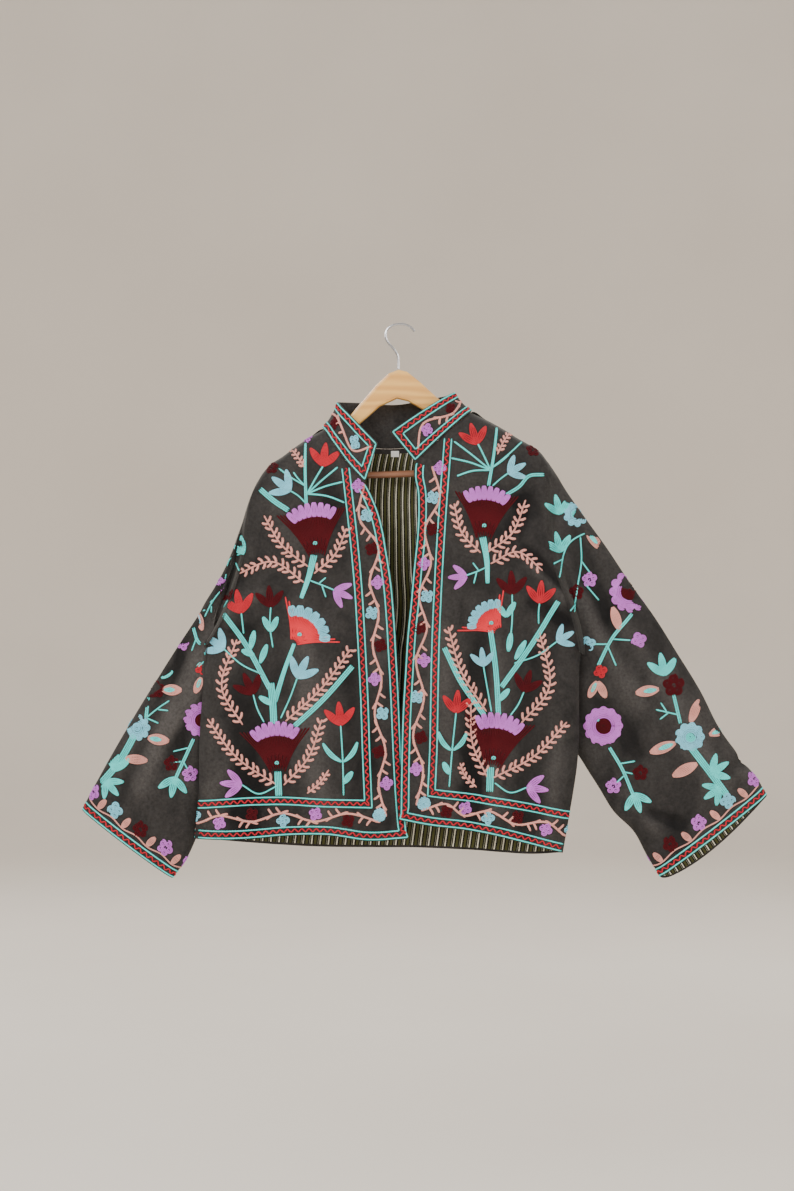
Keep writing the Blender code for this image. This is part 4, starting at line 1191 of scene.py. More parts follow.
# %% [markdown]
# ## Sewing rows onto the cloth
#
# Chain stitch lies on the cloth as a ridge of small links. The chart is flat and the cloth is not, so every
# half stitch is first looked up on the dense grid. Then a low four-sided ridge is swept along the spots found.
# A Shrinkwrap modifier could do the look-up, but Newton's steps need no second object and work on whole arrays.

# %% Look up the chart on a panel
MISSES = 1.0
NEWTON_STEPS = 10
NEWTON_REACH = 4.0
LEAST_CELL = 1e-4
SEED_EVERY = 6
AT_ONCE = 1500


def on_grid(values, at):
    """Values at fractional rows and columns: the four corners of each cell weighed by the shares."""
    cell = np.clip(np.floor(at).astype(int), 0, np.array(values.shape[:2]) - 2)
    down, across = (at - cell).T[..., None]
    row, column = cell.T
    return ((1 - down) * ((1 - across) * values[row, column] + across * values[row, column + 1])
            + down * ((1 - across) * values[row + 1, column] + across * values[row + 1, column + 1]))


def lay_on(plan, spots):
    """Fractional rows and columns at which a plan grid holds these spots, and how far each one misses.

    It starts from the nearest of a few grid points. Each Newton step solves miss = rows * slope down +
    columns * slope across for the two unknowns."""
    seeds = plan[::SEED_EVERY, ::SEED_EVERY]
    flat = seeds.reshape(-1, 2)
    parts = np.array_split(spots, len(spots) // AT_ONCE + 1)
    nearest = np.concatenate([np.argmin(((part[:, None] - flat) ** 2).sum(axis=-1), axis=1) for part in parts])
    at = np.stack(np.unravel_index(nearest, seeds.shape[:2]), axis=1) * float(SEED_EVERY)
    last = np.array(plan.shape[:2]) - 1.0
    for step in range(NEWTON_STEPS):
        miss = spots - on_grid(plan, at)
        row, column = np.clip(np.floor(at).astype(int), 0, np.array(plan.shape[:2]) - 2).T
        down = plan[row + 1, column] - plan[row, column]
        across = plan[row, column + 1] - plan[row, column]
        size = down[:, 0] * across[:, 1] - down[:, 1] * across[:, 0]
        size = np.where(np.abs(size) < LEAST_CELL, LEAST_CELL, size)
        rows = (miss[:, 0] * across[:, 1] - miss[:, 1] * across[:, 0]) / size
        columns = (down[:, 0] * miss[:, 1] - down[:, 1] * miss[:, 0]) / size
        move = np.clip(np.stack([rows, columns], axis=1), -NEWTON_REACH, NEWTON_REACH)
        at = np.clip(at + move, 0.0, last)
    return at, np.linalg.norm(spots - on_grid(plan, at), axis=1)


# %% Sew the rows
SECTION = np.array([(-1.0, -0.30), (-0.58, 1.0), (0.58, 1.0), (1.0, -0.30)])
RIDGE = 1.15
LINK_NARROW = 0.80
LINK_LOW = 0.78
END_SHARE = 0.55
FACE_ROWS = 100000
LONGEST_LINK = STITCH * 1.6


def traced(work):
    """Rows cut into half stitches: spots, and beside each its row, yarn, width, lift and stitches so far."""
    spots, facts = [], []
    for number, (yarn, line, width, lift) in enumerate(work.rows):
        length = run_length(line)
        at = np.linspace(0.0, length[-1], max(3, round(length[-1] / work.stitch * 2) + 1))
        spots.append(np.stack([np.interp(at, length, line[:, 0]), np.interp(at, length, line[:, 1])], axis=1))
        kind = list(YARNS).index(yarn)
        facts.append(np.stack(np.broadcast_arrays(number, kind, width, lift, at / work.stitch), axis=1))
    return np.concatenate(spots), np.concatenate(facts)


def embroider(name, faces):
    """One mesh of ridges. Each face is a plan grid, the points and normals that go with it, and its needlework.

    A ring of the ridge stands at a spot: across = normal x run, height along the normal. Rings alternate wide
    and narrow, one pair a stitch, and the first and last of a row are drawn in and capped."""
    points, normals, facts, sound = [], [], [], []
    for number, (plan, grid, outward, work) in enumerate(faces):
        spots, table = traced(work)
        at, miss = lay_on(plan, spots)
        table[:, 0] += number * FACE_ROWS
        points.append(on_grid(grid, at))
        normals.append(unit(on_grid(outward, at)))
        facts.append(table)
        sound.append(miss < MISSES)
    points, normals, facts, sound = (np.concatenate(each) for each in (points, normals, facts, sound))
    row, yarn, width, lift, along = facts.T
    step = np.linalg.norm(np.diff(points, axis=0), axis=1)
    linked = sound[:-1] & sound[1:] & (row[:-1] == row[1:]) & (step < LONGEST_LINK)
    before, after = np.append(False, linked), np.append(linked, False)
    kept = before | after
    ahead = np.where(after[:, None], np.roll(points, -1, axis=0), points)
    behind = np.where(before[:, None], np.roll(points, 1, axis=0), points)
    across = unit(np.cross(normals, ahead - behind + 1e-9))
    even = np.round(along * 2) % 2 < 1
    closed = before & after
    wide = width / 2 * np.where(even, 1.0, LINK_NARROW) * np.where(closed, 1.0, END_SHARE)
    high = RIDGE * np.where(even, 1.0, LINK_LOW) * np.where(closed, 1.0, END_SHARE)
    rise = SECTION[:, 1] * high[:, None] + np.where(SECTION[:, 1] > 0, lift[:, None], 0.0)
    rings = (points[:, None] + across[:, None] * (SECTION[:, 0] * wide[:, None])[..., None]
             + normals[:, None] * rise[..., None])
    sides = np.arange(len(SECTION))
    number = (np.cumsum(kept) - 1)[:, None] * len(SECTION)
    start = number[:-1][linked]
    end = number[1:][linked]
    other = np.roll(sides, -1)
    walls = np.stack([start + sides, end + sides, end + other, start + other], axis=-1).reshape(-1, 4)
    first, final = kept & ~before, kept & ~after
    faces_all = np.concatenate([walls, number[first] + sides, number[final] + sides[::-1]])
    kinds = np.concatenate([np.repeat(yarn[:-1][linked], len(SECTION)), yarn[first], yarn[final]])
    uvs = np.stack(np.broadcast_arrays(along[:, None], SECTION[:, 0]), axis=-1)
    item = put_mesh(name, rings[kept].reshape(-1, 3), faces_all, uvs[kept].reshape(-1, 2),
                    list(wools.values()), kinds)
    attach(item, "root")
    print(name, "triangles", 2 * len(faces_all), "spots off the cloth", int((~sound).sum()))
    return item


# %% Faces to sew on
def front_view(name, back=False):
    """The half of a panel that faces the viewer, or the half that faces away: plan, points and normals."""
    grid, normals, ring = cloths[name]
    if ring:
        facing_viewer = normals[..., 1].mean(axis=0) < 0
        wanted = facing_viewer != back
        first = int(np.flatnonzero(wanted & ~np.roll(wanted, 1))[0])
        order = np.arange(first - 1, first + wanted.sum() + 1) % grid.shape[1]
        grid, normals = grid[:, order], normals[:, order]
    return grid[..., (0, 2)], grid, normals


def unrolled(name, rows=None):
    """A panel's own flat coordinates, run along its last row and height above it, with points and normals.

    The collar's grid is the face against the neck, so its other face is taken, one wall further out."""
    grid, normals, ring = cloths[name]
    if ring:
        grid, normals = (np.concatenate([each, each[:, :2]], axis=1) for each in (grid, normals))
    if rows:
        grid, normals = grid[-rows:], normals[-rows:]
    if name == "collar":
        grid, normals = grid - normals * WALL["collar"], -normals
    along = run_length(grid[-1])
    steps = np.linalg.norm(np.diff(grid, axis=0), axis=-1)
    height = np.concatenate([np.cumsum(steps[::-1], axis=0)[::-1], np.zeros((1, grid.shape[1]))])
    return np.stack([np.broadcast_to(along, height.shape), height], axis=-1), grid, normals


def squares(*points):
    """Squares of the chart for points in millimetres."""
    return np.array(points, dtype=float).reshape(-1, 2) / (CHART_SQUARE, -CHART_SQUARE) + CHART_ZERO


def cornered(first, second, distance):
    """Two lines that meet at a corner, moved to their left by a distance, with the corner mitred."""
    sides = sideways(first), sideways(second)
    lines = [line + side * distance for line, side in zip((first, second), sides)]
    ends = sides[0][-1], sides[1][0]
    corner = first[-1] + distance * (ends[0] + ends[1]) / (1.0 + ends[0] @ ends[1])
    far = [np.linalg.norm(line - first[-1], axis=1) > abs(distance) + 0.5 for line in (first, second)]
    return np.concatenate([lines[0][far[0]], corner[None], lines[1][far[1]]])


BRAID = 5.2
BRAID_IN = 7.6


def braid(work, first, second, middle, half=BRAID):
    """A triple braid along two lines that meet at a corner, its middle at a distance to their left."""
    for edge in (-half, half):
        work.row(cornered(first, second, middle + edge), "turquoise", BRAID_WIDTH)
    work.zigzag(cornered(first, second, middle))



# %% [markdown]
# ## The plants on both fronts
#
# Each front has one plant: a low fan blossom with ferns, a forked stem with tulips, a quarter fan turned to the
# opening, and a tall fan blossom under the shoulder. The lists read from the shoulder down. Every number is a
# square of the chart. The back repeats both plants, so each is a function that sews into any needlework.

# %% Plants of the right front
def tulips(work, table):
    """Tulips from rows of base, tip, yarn and the points of a stem that starts at the base."""
    for base, tip, yarn, stem in table:
        if stem:
            work.stem([base, *stem], 1)
        work.tulip(base, tip, yarn)


def plant_right(work):
    work.stem([(305, 503), (304, 470), (304, 440)], 2, ends=(1.0, 0.5))
    for end in ((322, 464), (337, 465), (342, 480), (344, 501)):
        work.stem([(306, 492), (0.45 * 306 + 0.55 * end[0], 0.5 * 488 + 0.5 * end[1]), end], 1, width=3.6)
    for end in ((277, 466), (292, 470)):
        work.stem([(304, 484), (0.4 * 304 + 0.6 * end[0], 0.4 * 484 + 0.6 * end[1] + 1), end], 1)
    work.stem([(258, 487), (272, 499), (287, 509)], 3)
    work.blossom((269, 464), "maroon", 8.0, 5)
    work.blossom((306, 434), "lilac", 6.0, 4)
    work.fern([(304, 466), (296, 454), (288, 444)], 5.0, 5.0)
    work.fern([(307, 566), (281, 545), (262, 514)])
    work.fern([(303, 582), (270, 561), (236, 573)])
    work.fern([(313, 573), (334, 554), (346, 527)])
    work.stem([(313, 554), (308, 575), (300, 598)], 4, ends=(1.0, 0.45))
    work.fan((316, 554), (309, 501), "maroon", "lilac")
    for twig in ([(309, 580), (322, 585), (334, 590)], [(318, 583), (325, 577)], [(321, 585), (325, 597)]):
        work.stem(twig, 1)
    tulips(work, [((322, 464), (325, 440), "red", None),
                  ((289, 489), (270, 475), "blue", [(297, 494), (304, 501)]),
                  ((333, 590), (352, 598), "lilac", None),
                  ((239, 613), (234, 589), "red", [(240, 623), (241, 634)]),
                  ((269, 607), (267, 585), "maroon", [(268, 625), (271, 648)]),
                  ((221, 650), (202, 636), "blue", [(240, 666), (262, 676)]),
                  ((251, 696), (241, 674), "maroon", [(255, 710), (262, 724)]),
                  ((296, 679), (307, 657), "blue", [(289, 698), (279, 720)]),
                  ((239, 788), (217, 786), "lilac", [(256, 797), (275, 789)]),
                  ((340, 727), (338, 703), "red", [(342, 760), (343, 798)])])
    for base, tip in (((269, 632), (276, 617)), ((269, 632), (261, 617)), ((248, 650), (252, 631)),
                      ((258, 664), (265, 645)), ((252, 656), (239, 651)), ((271, 706), (257, 698)),
                      ((343, 786), (352, 774))):
        work.leaf(base, tip, 6.4)
    work.stem([(221, 614), (243, 645), (268, 690)], 3)
    work.stem([(293, 644), (284, 668), (273, 703)], 3, ends=(0.6, 1.0))
    work.stem([(269, 684), (271, 704), (272, 726)], 4)
    work.fan((293, 642), (317, 613), "coral", "blue", 43.0, 0.70, 51.0, 1.20, 4.0, 7, 0.24)
    work.fern([(240, 727), (219, 690), (234, 640)])
    work.fern([(284, 723), (320, 690), (350, 650)])
    work.stem([(293, 728), (322, 701), (352, 667)], 3)
    work.fern([(274, 787), (236, 762), (204, 721)])
    work.fern([(282, 788), (307, 760), (321, 721)])
    work.fern([(306, 796), (320, 784), (328, 772)], 5.0, 5.5)
    work.leaf((341, 764), (322, 745), 5.0, bend=3.5)
    work.leaf((343, 764), (357, 744), 5.0, bend=-3.5)
    work.stem([(276, 774), (277, 799)], 4)
    work.fan((276, 773), (272, 723), "maroon", "lilac", 28.0, 0.72, 41.0, 1.06, 7.0, 8, 0.15)


# %% Plants of the left front
def plant_left(work):
    work.stem([(490, 484), (495, 455), (499, 424)], 2, ends=(1.0, 0.5))
    for end in ((455, 439), (452, 456), (458, 474), (479, 441)):
        work.stem([(492, 468), (0.45 * 492 + 0.55 * end[0], 0.5 * 464 + 0.5 * end[1]), end], 1, width=3.6)
    for end in ((525, 438), (511, 452)):
        work.stem([(493, 466), (0.4 * 493 + 0.6 * end[0], 0.4 * 466 + 0.6 * end[1] + 1), end], 1)
    work.stem([(508, 493), (522, 484), (531, 474), (547, 472)], 2)
    work.blossom((536, 446), "maroon", 8.0, 5)
    work.fern([(499, 452), (506, 438), (513, 428)], 5.0, 5.0)
    work.fern([(482, 552), (463, 532), (455, 502)])
    work.fern([(488, 552), (514, 532), (528, 498)])
    work.fern([(492, 563), (519, 551), (545, 570)])
    work.stem([(484, 536), (488, 558), (489, 583)], 4, ends=(1.0, 0.45))
    work.fan((485, 536), (489, 484), "maroon", "lilac", 25.0, 0.74, 36.0, 1.02)
    for twig in ([(489, 566), (478, 571), (467, 575)], [(480, 570), (474, 562)], [(478, 571), (475, 583)]):
        work.stem(twig, 1)
    tulips(work, [((478, 442), (472, 420), "red", None),
                  ((510, 471), (528, 461), "blue", [(502, 477), (494, 484)]),
                  ((468, 576), (449, 577), "lilac", None),
                  ((542, 603), (544, 580), "red", [(541, 612), (541, 624)]),
                  ((514, 594), (513, 570), "maroon", [(514, 620), (511, 650)]),
                  ((560, 642), (577, 632), "blue", [(540, 656), (516, 664)]),
                  ((526, 693), (533, 671), "maroon", [(520, 706), (512, 717)]),
                  ((485, 667), (483, 648), "blue", [(489, 690), (493, 713)]),
                  ((529, 790), (551, 793), "lilac", [(512, 795), (496, 785)]),
                  ((457, 714), (459, 691), "red", [(453, 752), (450, 789)])])
    for base, tip in (((510, 652), (513, 633)), ((508, 617), (498, 603)), ((508, 617), (517, 602)),
                      ((517, 660), (528, 641)), ((500, 702), (511, 690)), ((450, 776), (444, 764))):
        work.leaf(base, tip, 6.4)
    work.stem([(561, 601), (534, 645), (503, 688)], 3)
    work.stem([(492, 630), (497, 668), (500, 716)], 3)
    work.fan((499, 630), (478, 606), "coral", "blue", 40.0, 0.70, 50.0, 1.25, 4.0, 7, 0.28)
    work.stem([(445, 648), (462, 683), (486, 717)], 3)
    work.fern([(488, 713), (463, 674), (449, 627)])
    work.fern([(523, 725), (551, 691), (542, 632)])
    work.fern([(494, 780), (537, 758), (570, 724)])
    work.fern([(489, 780), (474, 746), (472, 705)])
    work.fern([(478, 790), (466, 778), (461, 765)], 5.0, 5.5)
    work.leaf((452, 752), (439, 733), 5.0, bend=3.5)
    work.leaf((454, 752), (468, 734), 5.0, bend=-3.5)
    work.stem([(492, 769), (491, 794)], 4)
    work.fan((494, 768), (503, 714), "maroon", "lilac", 25.0, 0.72, 37.0, 1.06, 7.0, 8, 0.15)


# %% Frames and running vines of the fronts
FRAME = {
    "front_right": ([(345, 466), (349, 500), (354, 545), (358, 590), (361, 640), (364, 700), (366, 760), (368, 807)],
                    [(368, 807), (330, 806), (275, 804), (230, 806), (188, 809)]),
    "front_left": ([(449, 436), (444, 500), (441, 545), (438, 600), (436, 650), (435, 700), (434, 750), (432, 795)],
                   [(432, 795), (470, 800), (520, 808), (576, 820)])}
VINES = {"front_right": [
    [(357, 484, "lilac", 1), (366, 514, "blue", -1), (371, 548, "maroon", 1), (377, 582, "lilac", -1),
     (371, 613, "blue", 1), (380, 646, "maroon", -1), (374, 680, "lilac", 1), (382, 715, "blue", -1),
     (378, 754, "maroon", 1), (386, 786, "lilac", -1), (379, 818, "blue", 1)],
    [(379, 818, "blue", 1), (347, 824, "maroon", -1), (314, 817, "lilac", 1), (281, 824, "blue", -1),
     (249, 818, "maroon", 1), (216, 827, "lilac", -1), (190, 820, "blue", 1)]],
    "front_left": [
    [(440, 466, "lilac", -1), (433, 496, "blue", 1), (433, 528, "maroon", -1), (424, 563, "lilac", 1),
     (427, 596, "blue", -1), (420, 628, "maroon", 1), (424, 661, "lilac", -1), (417, 698, "blue", 1),
     (421, 739, "maroon", -1), (416, 771, "lilac", 1), (424, 806, "blue", -1)],
    [(424, 806, "blue", -1), (447, 814, "maroon", 1), (466, 811, "lilac", -1), (489, 821, "blue", 1),
     (519, 820, "maroon", -1), (548, 833, "lilac", 1), (574, 834, "blue", -1)]]}

COLLAR_FOOT = {"front_right": -236.0, "front_left": -206.0}

work_of = {}
for name, inward, plant in (("front_right", -1.0, plant_right), ("front_left", 1.0, plant_left)):
    work = Needlework()
    plan = front_view(name)[0]
    edge = 0 if abs(plan[-1, 0, 0]) < abs(plan[-1, -1, 0]) else -1
    hem = plan[-1] if edge == 0 else plan[-1, ::-1]
    front = curve(plan[::6, edge])
    front = front[front[:, 1] < COLLAR_FOOT[name]]
    braid(work, front, curve(hem[::6]), inward * BRAID_IN)
    braid(work, *(curve(chart(*side)) for side in FRAME[name]), 0.0)
    for flowers, ends in zip(VINES[name], ((0, 0), (0, 1))):
        work.vine(flowers, ends)
    plant(work)
    work_of[name] = [(*front_view(name), work)]
    print(name, "rows", len(work.rows))



# %% [markdown]
# ## Sleeves, cuffs, collar and back
#
# The sleeves carry large daisies cut by their outline, and leafy stems. A cuff or collar is charted on its own
# unrolled strip, run along the edge against height, so that its braid keeps its distance all the way round.

# %% Plants of the sleeves
def leaves(work, table):
    """Oval leaves from rows of base, tip, width, yarn and heart."""
    for base, tip, width, yarn, heart in table:
        work.leaf(base, tip, width, yarn, heart)


def sleeve_plant_right(work):
    work.daisy((197, 723), 19.0, 12, "lilac", "maroon", 0.40)
    work.daisy((131, 731), 14.0, 9, "blue", "blue", 0.34)
    for points, rows in (([(240, 552), (227, 557), (221, 580)], 1), ([(229, 556), (237, 570)], 1),
                         ([(216, 591), (209, 600), (200, 617)], 1), ([(210, 599), (202, 605)], 1),
                         ([(207, 606), (207, 614)], 1), ([(225, 600), (218, 611)], 1),
                         ([(204, 609), (198, 611)], 1), ([(187, 626), (197, 645), (203, 646)], 2),
                         ([(192, 638), (187, 652)], 1), ([(198, 648), (200, 660), (193, 668)], 2),
                         ([(142, 700), (140, 721)], 2), ([(141, 720), (152, 711), (164, 703)], 1),
                         ([(152, 712), (163, 713)], 1), ([(141, 721), (153, 726)], 1),
                         ([(129, 737), (113, 765), (92, 790)], 4), ([(189, 742), (180, 762), (170, 784)], 2),
                         ([(184, 751), (168, 755)], 1), ([(178, 764), (183, 773)], 1),
                         ([(177, 765), (169, 766)], 1)):
        work.stem(points, rows)
    leaves(work, [((191, 611), (198, 631), 8.4, "peach", "blue"),
                  ((197, 679), (191, 695), 8.4, "peach", "turquoise"),
                  ((155, 680), (167, 673), 6.0, "turquoise", None),
                  ((156, 692), (177, 692), 11.2, "peach", "turquoise"),
                  ((142, 741), (164, 744), 11.2, "peach", "turquoise"),
                  ((118, 762), (142, 764), 9.8, "peach", None)])
    for base, tip in (((242, 553), (238, 534)), ((108, 775), (110, 753)), ((99, 785), (112, 800)),
                      ((170, 781), (166, 802))):
        work.tulip(base, tip, "turquoise", 0.34, 46.0)
    for centre, yarn, size, petals in (((217, 584), "lilac", 8.6, 4), ((223, 593), "maroon", 8.4, 5),
                                       ((177, 645), "lilac", 7.7, 4), ((197, 670), "red", 7.2, 4),
                                       ((150, 692), "maroon", 10.3, 5), ((166, 767), "maroon", 8.9, 5),
                                       ((185, 778), "lilac", 8.9, 5)):
        work.blossom(centre, yarn, size, petals)


def sleeve_plant_left(work):
    work.daisy((580, 512), 14.0, 9, "blue", "turquoise", 0.34)
    work.daisy((636, 591), 22.0, 12, "lilac", "maroon", 0.46, (634, 583))
    work.daisy((609, 729), 21.0, 12, "lilac", "maroon", 0.42, (603, 723))
    work.daisy((697, 740), 16.0, 9, "blue", "turquoise", 0.34)
    for points, rows in (([(597, 528), (574, 541), (562, 577)], 1), ([(585, 535), (586, 560), (582, 585)], 1),
                         ([(573, 543), (560, 549)], 1), ([(567, 558), (556, 563)], 1),
                         ([(586, 560), (595, 572)], 1), ([(582, 586), (578, 612)], 1),
                         ([(590, 584), (604, 600)], 1), ([(580, 604), (572, 612)], 1),
                         ([(638, 614), (614, 644), (603, 667)], 2), ([(612, 646), (621, 667)], 1),
                         ([(597, 645), (613, 645)], 1), ([(618, 640), (636, 641)], 1),
                         ([(615, 751), (628, 773), (639, 799)], 2), ([(624, 768), (641, 765)], 1),
                         ([(629, 776), (639, 778)], 1), ([(630, 780), (622, 788)], 1),
                         ([(680, 697), (687, 726)], 2), ([(684, 717), (662, 712)], 1),
                         ([(675, 715), (666, 722)], 1), ([(673, 714), (667, 705)], 1),
                         ([(698, 751), (717, 776), (734, 799)], 4)):
        work.stem(points, rows)
    leaves(work, [((591, 529), (608, 549), 9.8, "peach", "turquoise"),
                  ((618, 607), (625, 631), 9.8, "peach", None),
                  ((602, 683), (594, 700), 8.4, "peach", "turquoise"),
                  ((603, 683), (611, 700), 8.4, "peach", None),
                  ((665, 691), (641, 695), 11.2, "peach", "turquoise"),
                  ((697, 725), (707, 702), 9.8, "peach", None),
                  ((682, 746), (656, 756), 11.2, "peach", "turquoise"),
                  ((704, 767), (679, 780), 11.2, "peach", None),
                  ((717, 738), (744, 728), 11.2, "peach", "turquoise")])
    for base, tip in (((564, 512), (559, 492)), ((564, 551), (559, 530)), ((671, 677), (667, 654)),
                      ((640, 798), (647, 818)), ((718, 777), (737, 766)), ((727, 792), (711, 803))):
        work.tulip(base, tip, "turquoise", 0.34, 44.0)
    for centre, yarn, size, petals in (((580, 592), "maroon", 8.9, 5), ((594, 579), "lilac", 8.9, 5),
                                       ((645, 641), "lilac", 8.9, 4), ((593, 645), "blue", 8.4, 4),
                                       ((605, 673), "red", 7.9, 4), ((646, 777), "maroon", 8.9, 5),
                                       ((619, 791), "lilac", 8.9, 5), ((680, 687), "maroon", 12.5, 5)):
        work.blossom(centre, yarn, size, petals)


# %% Cuffs on their unrolled strip
CUFF_ROWS = 26
CUFF_FLOWERS = 8
CUFF_FLOWER_HIGH = 32.0
CUFF_VINE = (21.0, 17.5)
CUFF_LEAF = (18.0, 36.0)
CUFF_YARNS = {"sleeve_right": ("lilac", "blue", "maroon", "lilac"),
              "sleeve_left": ("lilac", "blue", "lilac", "maroon")}


def straight(start, end):
    """A line in millimetres with a point every step."""
    return curve([start, end])


def cuff(name):
    """Braid along the edge, and a vine with an upright oval leaf between each two flowers."""
    plan, grid, outward = unrolled(name, CUFF_ROWS)
    work = Needlework()
    run = plan[0, -2, 0]
    work.triple(straight((0.0, BRAID_IN), (run, BRAID_IN)), BRAID / CHART_SQUARE)
    gap = run / CUFF_FLOWERS
    places = (np.arange(CUFF_FLOWERS) + 0.12) * gap
    knots = [point for x in places for point in ((x, CUFF_VINE[0]), (x + gap * 0.5, CUFF_VINE[1]))]
    work.row(curve(knots), "peach", BRAID_WIDTH)
    for number, x in enumerate(places):
        yarn = CUFF_YARNS[name][number % 4]
        flower = squares((x, CUFF_FLOWER_HIGH))[0]
        work.blossom(flower, yarn, 9.2, 5 if yarn != "blue" else 4, turn=number * 25.0)
        foot, tip = squares((x + gap * 0.46, CUFF_LEAF[0]), (x + gap * 0.56, CUFF_LEAF[1]))
        work.leaf(foot, tip, 6.6, "peach", None)
    return plan, grid, outward, work


for name, plant in (("sleeve_right", sleeve_plant_right), ("sleeve_left", sleeve_plant_left)):
    work = Needlework()
    plant(work)
    work_of[name] = [(*front_view(name), work), (*front_view(name, back=True), work), cuff(name)]

# %% Collar on its unrolled strip
plan, grid, outward = unrolled("collar")
high = plan[0, :, 1]
print("collar runs", round(plan[0, -1, 0]), "mm, height", high.min().round(), high.max().round(), "mm")
run, tall = plan[0, -1, 0], high.mean()
plan = plan * np.stack([np.ones_like(high), tall / high], axis=-1)
work = Needlework()
for inside in (BRAID_IN - BRAID, BRAID_IN, BRAID_IN + BRAID):
    corners = [(inside, inside), (run - inside, inside), (run - inside, tall - inside), (inside, tall - inside),
               (inside, inside)]
    box = np.concatenate([straight(*pair) for pair in zip(corners[:-1], corners[1:])])
    if inside == BRAID_IN:
        work.zigzag(box)
    else:
        work.row(box, "turquoise", BRAID_WIDTH)
COLLAR_FLOWERS = [(36, "blue", 1), (84, "maroon", -1), (132, "lilac", 1), (180, "blue", -1), (-180, "lilac", 1),
                  (-140, "blue", -1), (-98, "maroon", 1), (-46, "lilac", -1)]
table = [(*squares((place % run, tall / 2 - 3.0 * side))[0], yarn, side) for place, yarn, side in COLLAR_FLOWERS]
work.vine(sorted(table, key=lambda entry: entry[0]))
work_of["collar"] = [(plan, grid, outward, work)]

# %% Back
CENTRE = CHART_ZERO[0]
BACK_STITCH = 4.8
BACK_FLOWERS = 12
BACK_FLOWER_TURN = ("lilac", "blue", "maroon")
HEM_APART = 42.0
HEM_END = 14
VINE_BOW = 3.5
work = Needlework(BACK_STITCH)
plant_right(work)
plant_left(work)
work.fan((CENTRE, 470), (CENTRE, 414), "maroon", "lilac")
work.fan((CENTRE, 768), (CENTRE, 716), "maroon", "lilac", 28.0, 0.72, 41.0, 1.06, 7.0, 8, 0.15)
work.daisy((CENTRE, 560), 21.0, 12, "lilac", "maroon", 0.42, (CENTRE, 554))
work.daisy((CENTRE, 660), 16.0, 9, "blue", "turquoise", 0.36)
for points, rows in (([(CENTRE, 471), (399, 505), (CENTRE, 540)], 4),
                     ([(CENTRE, 580), (405, 612), (CENTRE, 645)], 3),
                     ([(CENTRE, 675), (400, 694), (CENTRE, 716)], 3), ([(CENTRE, 769), (CENTRE, 797)], 4)):
    work.stem(points, rows)
for side in (-1, 1):
    work.fern([(CENTRE + 4 * side, 500), (CENTRE + 30 * side, 480), (CENTRE + 38 * side, 440)])
    work.fern([(CENTRE + 5 * side, 615), (CENTRE + 27 * side, 590), (CENTRE + 34 * side, 560)])
    work.fern([(CENTRE + 5 * side, 775), (CENTRE + 30 * side, 752), (CENTRE + 38 * side, 712)])
    leaves(work, [((CENTRE + 3 * side, 640), (CENTRE + 20 * side, 624), 7.0, "peach", "turquoise"),
                  ((CENTRE + 3 * side, 690), (CENTRE + 22 * side, 676), 7.0, "turquoise", None),
                  ((CENTRE + 3 * side, 534), (CENTRE + 20 * side, 520), 6.0, "turquoise", None)])
plan, grid, outward = front_view("back")
hem = curve(plan[-1, ::6])
up = sideways(hem) * np.sign(sideways(hem)[:, 1].mean())
for rise in (BRAID_IN, BRAID_IN + HEM_APART):
    work.triple(hem + up * rise, BRAID / CHART_SQUARE)
spread_out = np.linspace(HEM_END, len(hem) - 1 - HEM_END, BACK_FLOWERS).astype(int)
spots = (hem + up * (BRAID_IN + HEM_APART / 2))[spread_out]
bows = np.array([-VINE_BOW, VINE_BOW])[np.arange(BACK_FLOWERS) % 2]
table = [(*squares((x, z + bow))[0], BACK_FLOWER_TURN[number % 3], -1 if bow > 0 else 1)
         for number, ((x, z), bow) in enumerate(zip(spots, bows))]
work.vine(table)
work_of["back"] = [(plan, grid, outward, work)]



# %% [markdown]
#
# Each panel's needlework becomes one mesh with a material for each yarn.

# %% Sew
for name, faces in work_of.items():
    sewn = embroider("embroidery_" + name, faces)


# %% [markdown]
# ## Hanger, label and studio
#
# The hanger keeps its packed form, because it is plain turned and bent stock, and gets real wood and steel. The
# studio is a pale bowl: a floor that curves up into a wall all round, so that every view has the same calm ground.

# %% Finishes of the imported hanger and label
for node, material in (("hanger_wood", pine), ("trouser_bar", bar_wood), ("hook", steel), ("label", tab_cloth)):
    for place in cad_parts[node].material_slots:
        place.material = material

# %% Studio bowl
FLOOR_Z = -1.42
BOWL_RADIUS = 6.0
BOWL_BEND = 1.5
BOWL_TOP = 4.0
FLAT_RADIUS = 2.0
BEND_STEPS = 13
TURN_STEPS = 96
MERGE = 1e-5


def bowl_profile():
    """Radius and height of the bowl: flat floor, a quarter circle, then an upright wall."""
    turn = np.linspace(0.0, math.pi / 2, BEND_STEPS)
    radius = np.concatenate([[0.0, FLAT_RADIUS], BOWL_RADIUS - BOWL_BEND + BOWL_BEND * np.sin(turn), [BOWL_RADIUS]])
    height = np.concatenate([[0.0, 0.0], BOWL_BEND * (1.0 - np.cos(turn)), [BOWL_TOP]])
    return radius, height + FLOOR_Z


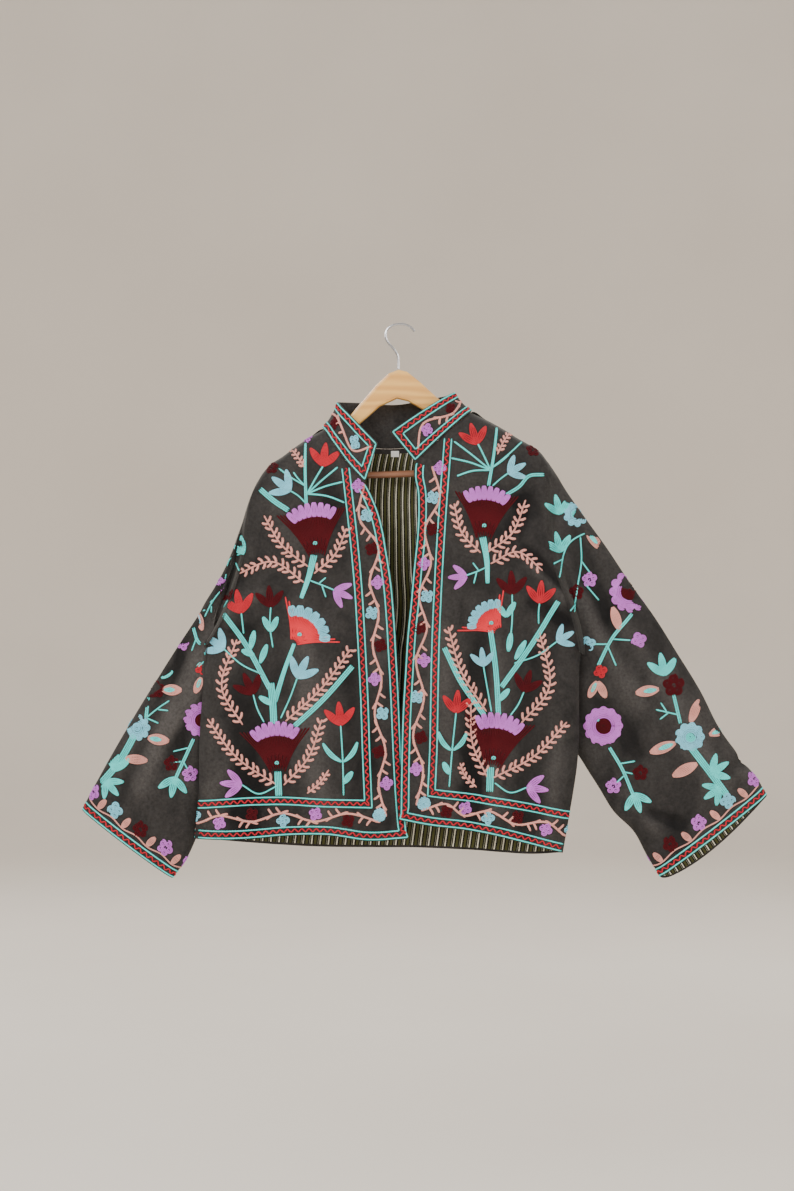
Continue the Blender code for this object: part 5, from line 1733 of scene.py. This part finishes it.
radius, height = bowl_profile()
around = np.linspace(0.0, math.tau, TURN_STEPS + 1)[:-1]
points = np.stack([radius[:, None] * np.cos(around), radius[:, None] * np.sin(around),
                   np.broadcast_to(height[:, None], (len(radius), len(around)))], axis=-1)
number = np.arange(points[..., 0].size).reshape(points.shape[:2])
number = np.concatenate([number, number[:, :1]], axis=1)
faces = np.stack([number[:-1, :-1], number[:-1, 1:], number[1:, 1:], number[1:, :-1]], axis=-1).reshape(-1, 4)

studio, tree, shader = new_material("studio_plaster")
cloudy = add_node(tree, "TexNoise", Vector=object_place(tree), Scale=1.2, Detail=4.0).outputs["Fac"]
paint(tree, shader, blend(tree, cloudy, srgb(222, 212, 200), srgb(234, 226, 215)))
finish(shader, Roughness=0.95)
bowl = put_mesh("studio_bowl", points.reshape(-1, 3) / MM, faces, np.zeros((points[..., 0].size, 2)), studio)
middle = bmesh.new()
middle.from_mesh(bowl.data)
bmesh.ops.remove_doubles(middle, verts=middle.verts, dist=MERGE)
middle.to_mesh(bowl.data)
middle.free()
bowl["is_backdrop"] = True

# %% Soft light
world = bpy.data.worlds.new("studio_sky")
world.use_nodes = True
background = world.node_tree.nodes["Background"]
background.inputs["Color"].default_value = srgb(240, 238, 234)
background.inputs["Strength"].default_value = 0.95
bpy.context.scene.world = world

# Columns: name, place and size in metres, power in watts
LIGHTS = [("key", (-1.9, -2.6, 1.5), 2.0, 88.0), ("fill", (2.4, -2.4, 0.6), 2.4, 46.0),
          ("low", (0.0, -2.6, -1.1), 2.0, 14.0), ("back_left", (-2.2, 2.6, 1.4), 2.0, 60.0),
          ("back_right", (2.4, 2.4, 0.9), 2.2, 46.0)]
TARGET = np.array([0.0, 0.0, -0.42])
for name, spot, size, power in LIGHTS:
    data = bpy.data.lights.new(name, "AREA")
    data.shape = "DISK"
    data.size = size
    data.energy = power
    lamp = bpy.data.objects.new(name, data)
    lamp.location = spot
    away = np.array(spot) - TARGET
    level = math.hypot(away[0], away[1])
    lamp.rotation_euler = (math.atan2(level, away[2]), 0.0, math.atan2(away[0], -away[1]))
    bpy.context.scene.collection.objects.link(lamp)
    print(name, "light", power, "W")

# %% [markdown]
# ## The dressed model's box
#
# The box round the dressed model, without the studio bowl, is computed.

# %% Sizes and finish
low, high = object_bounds()
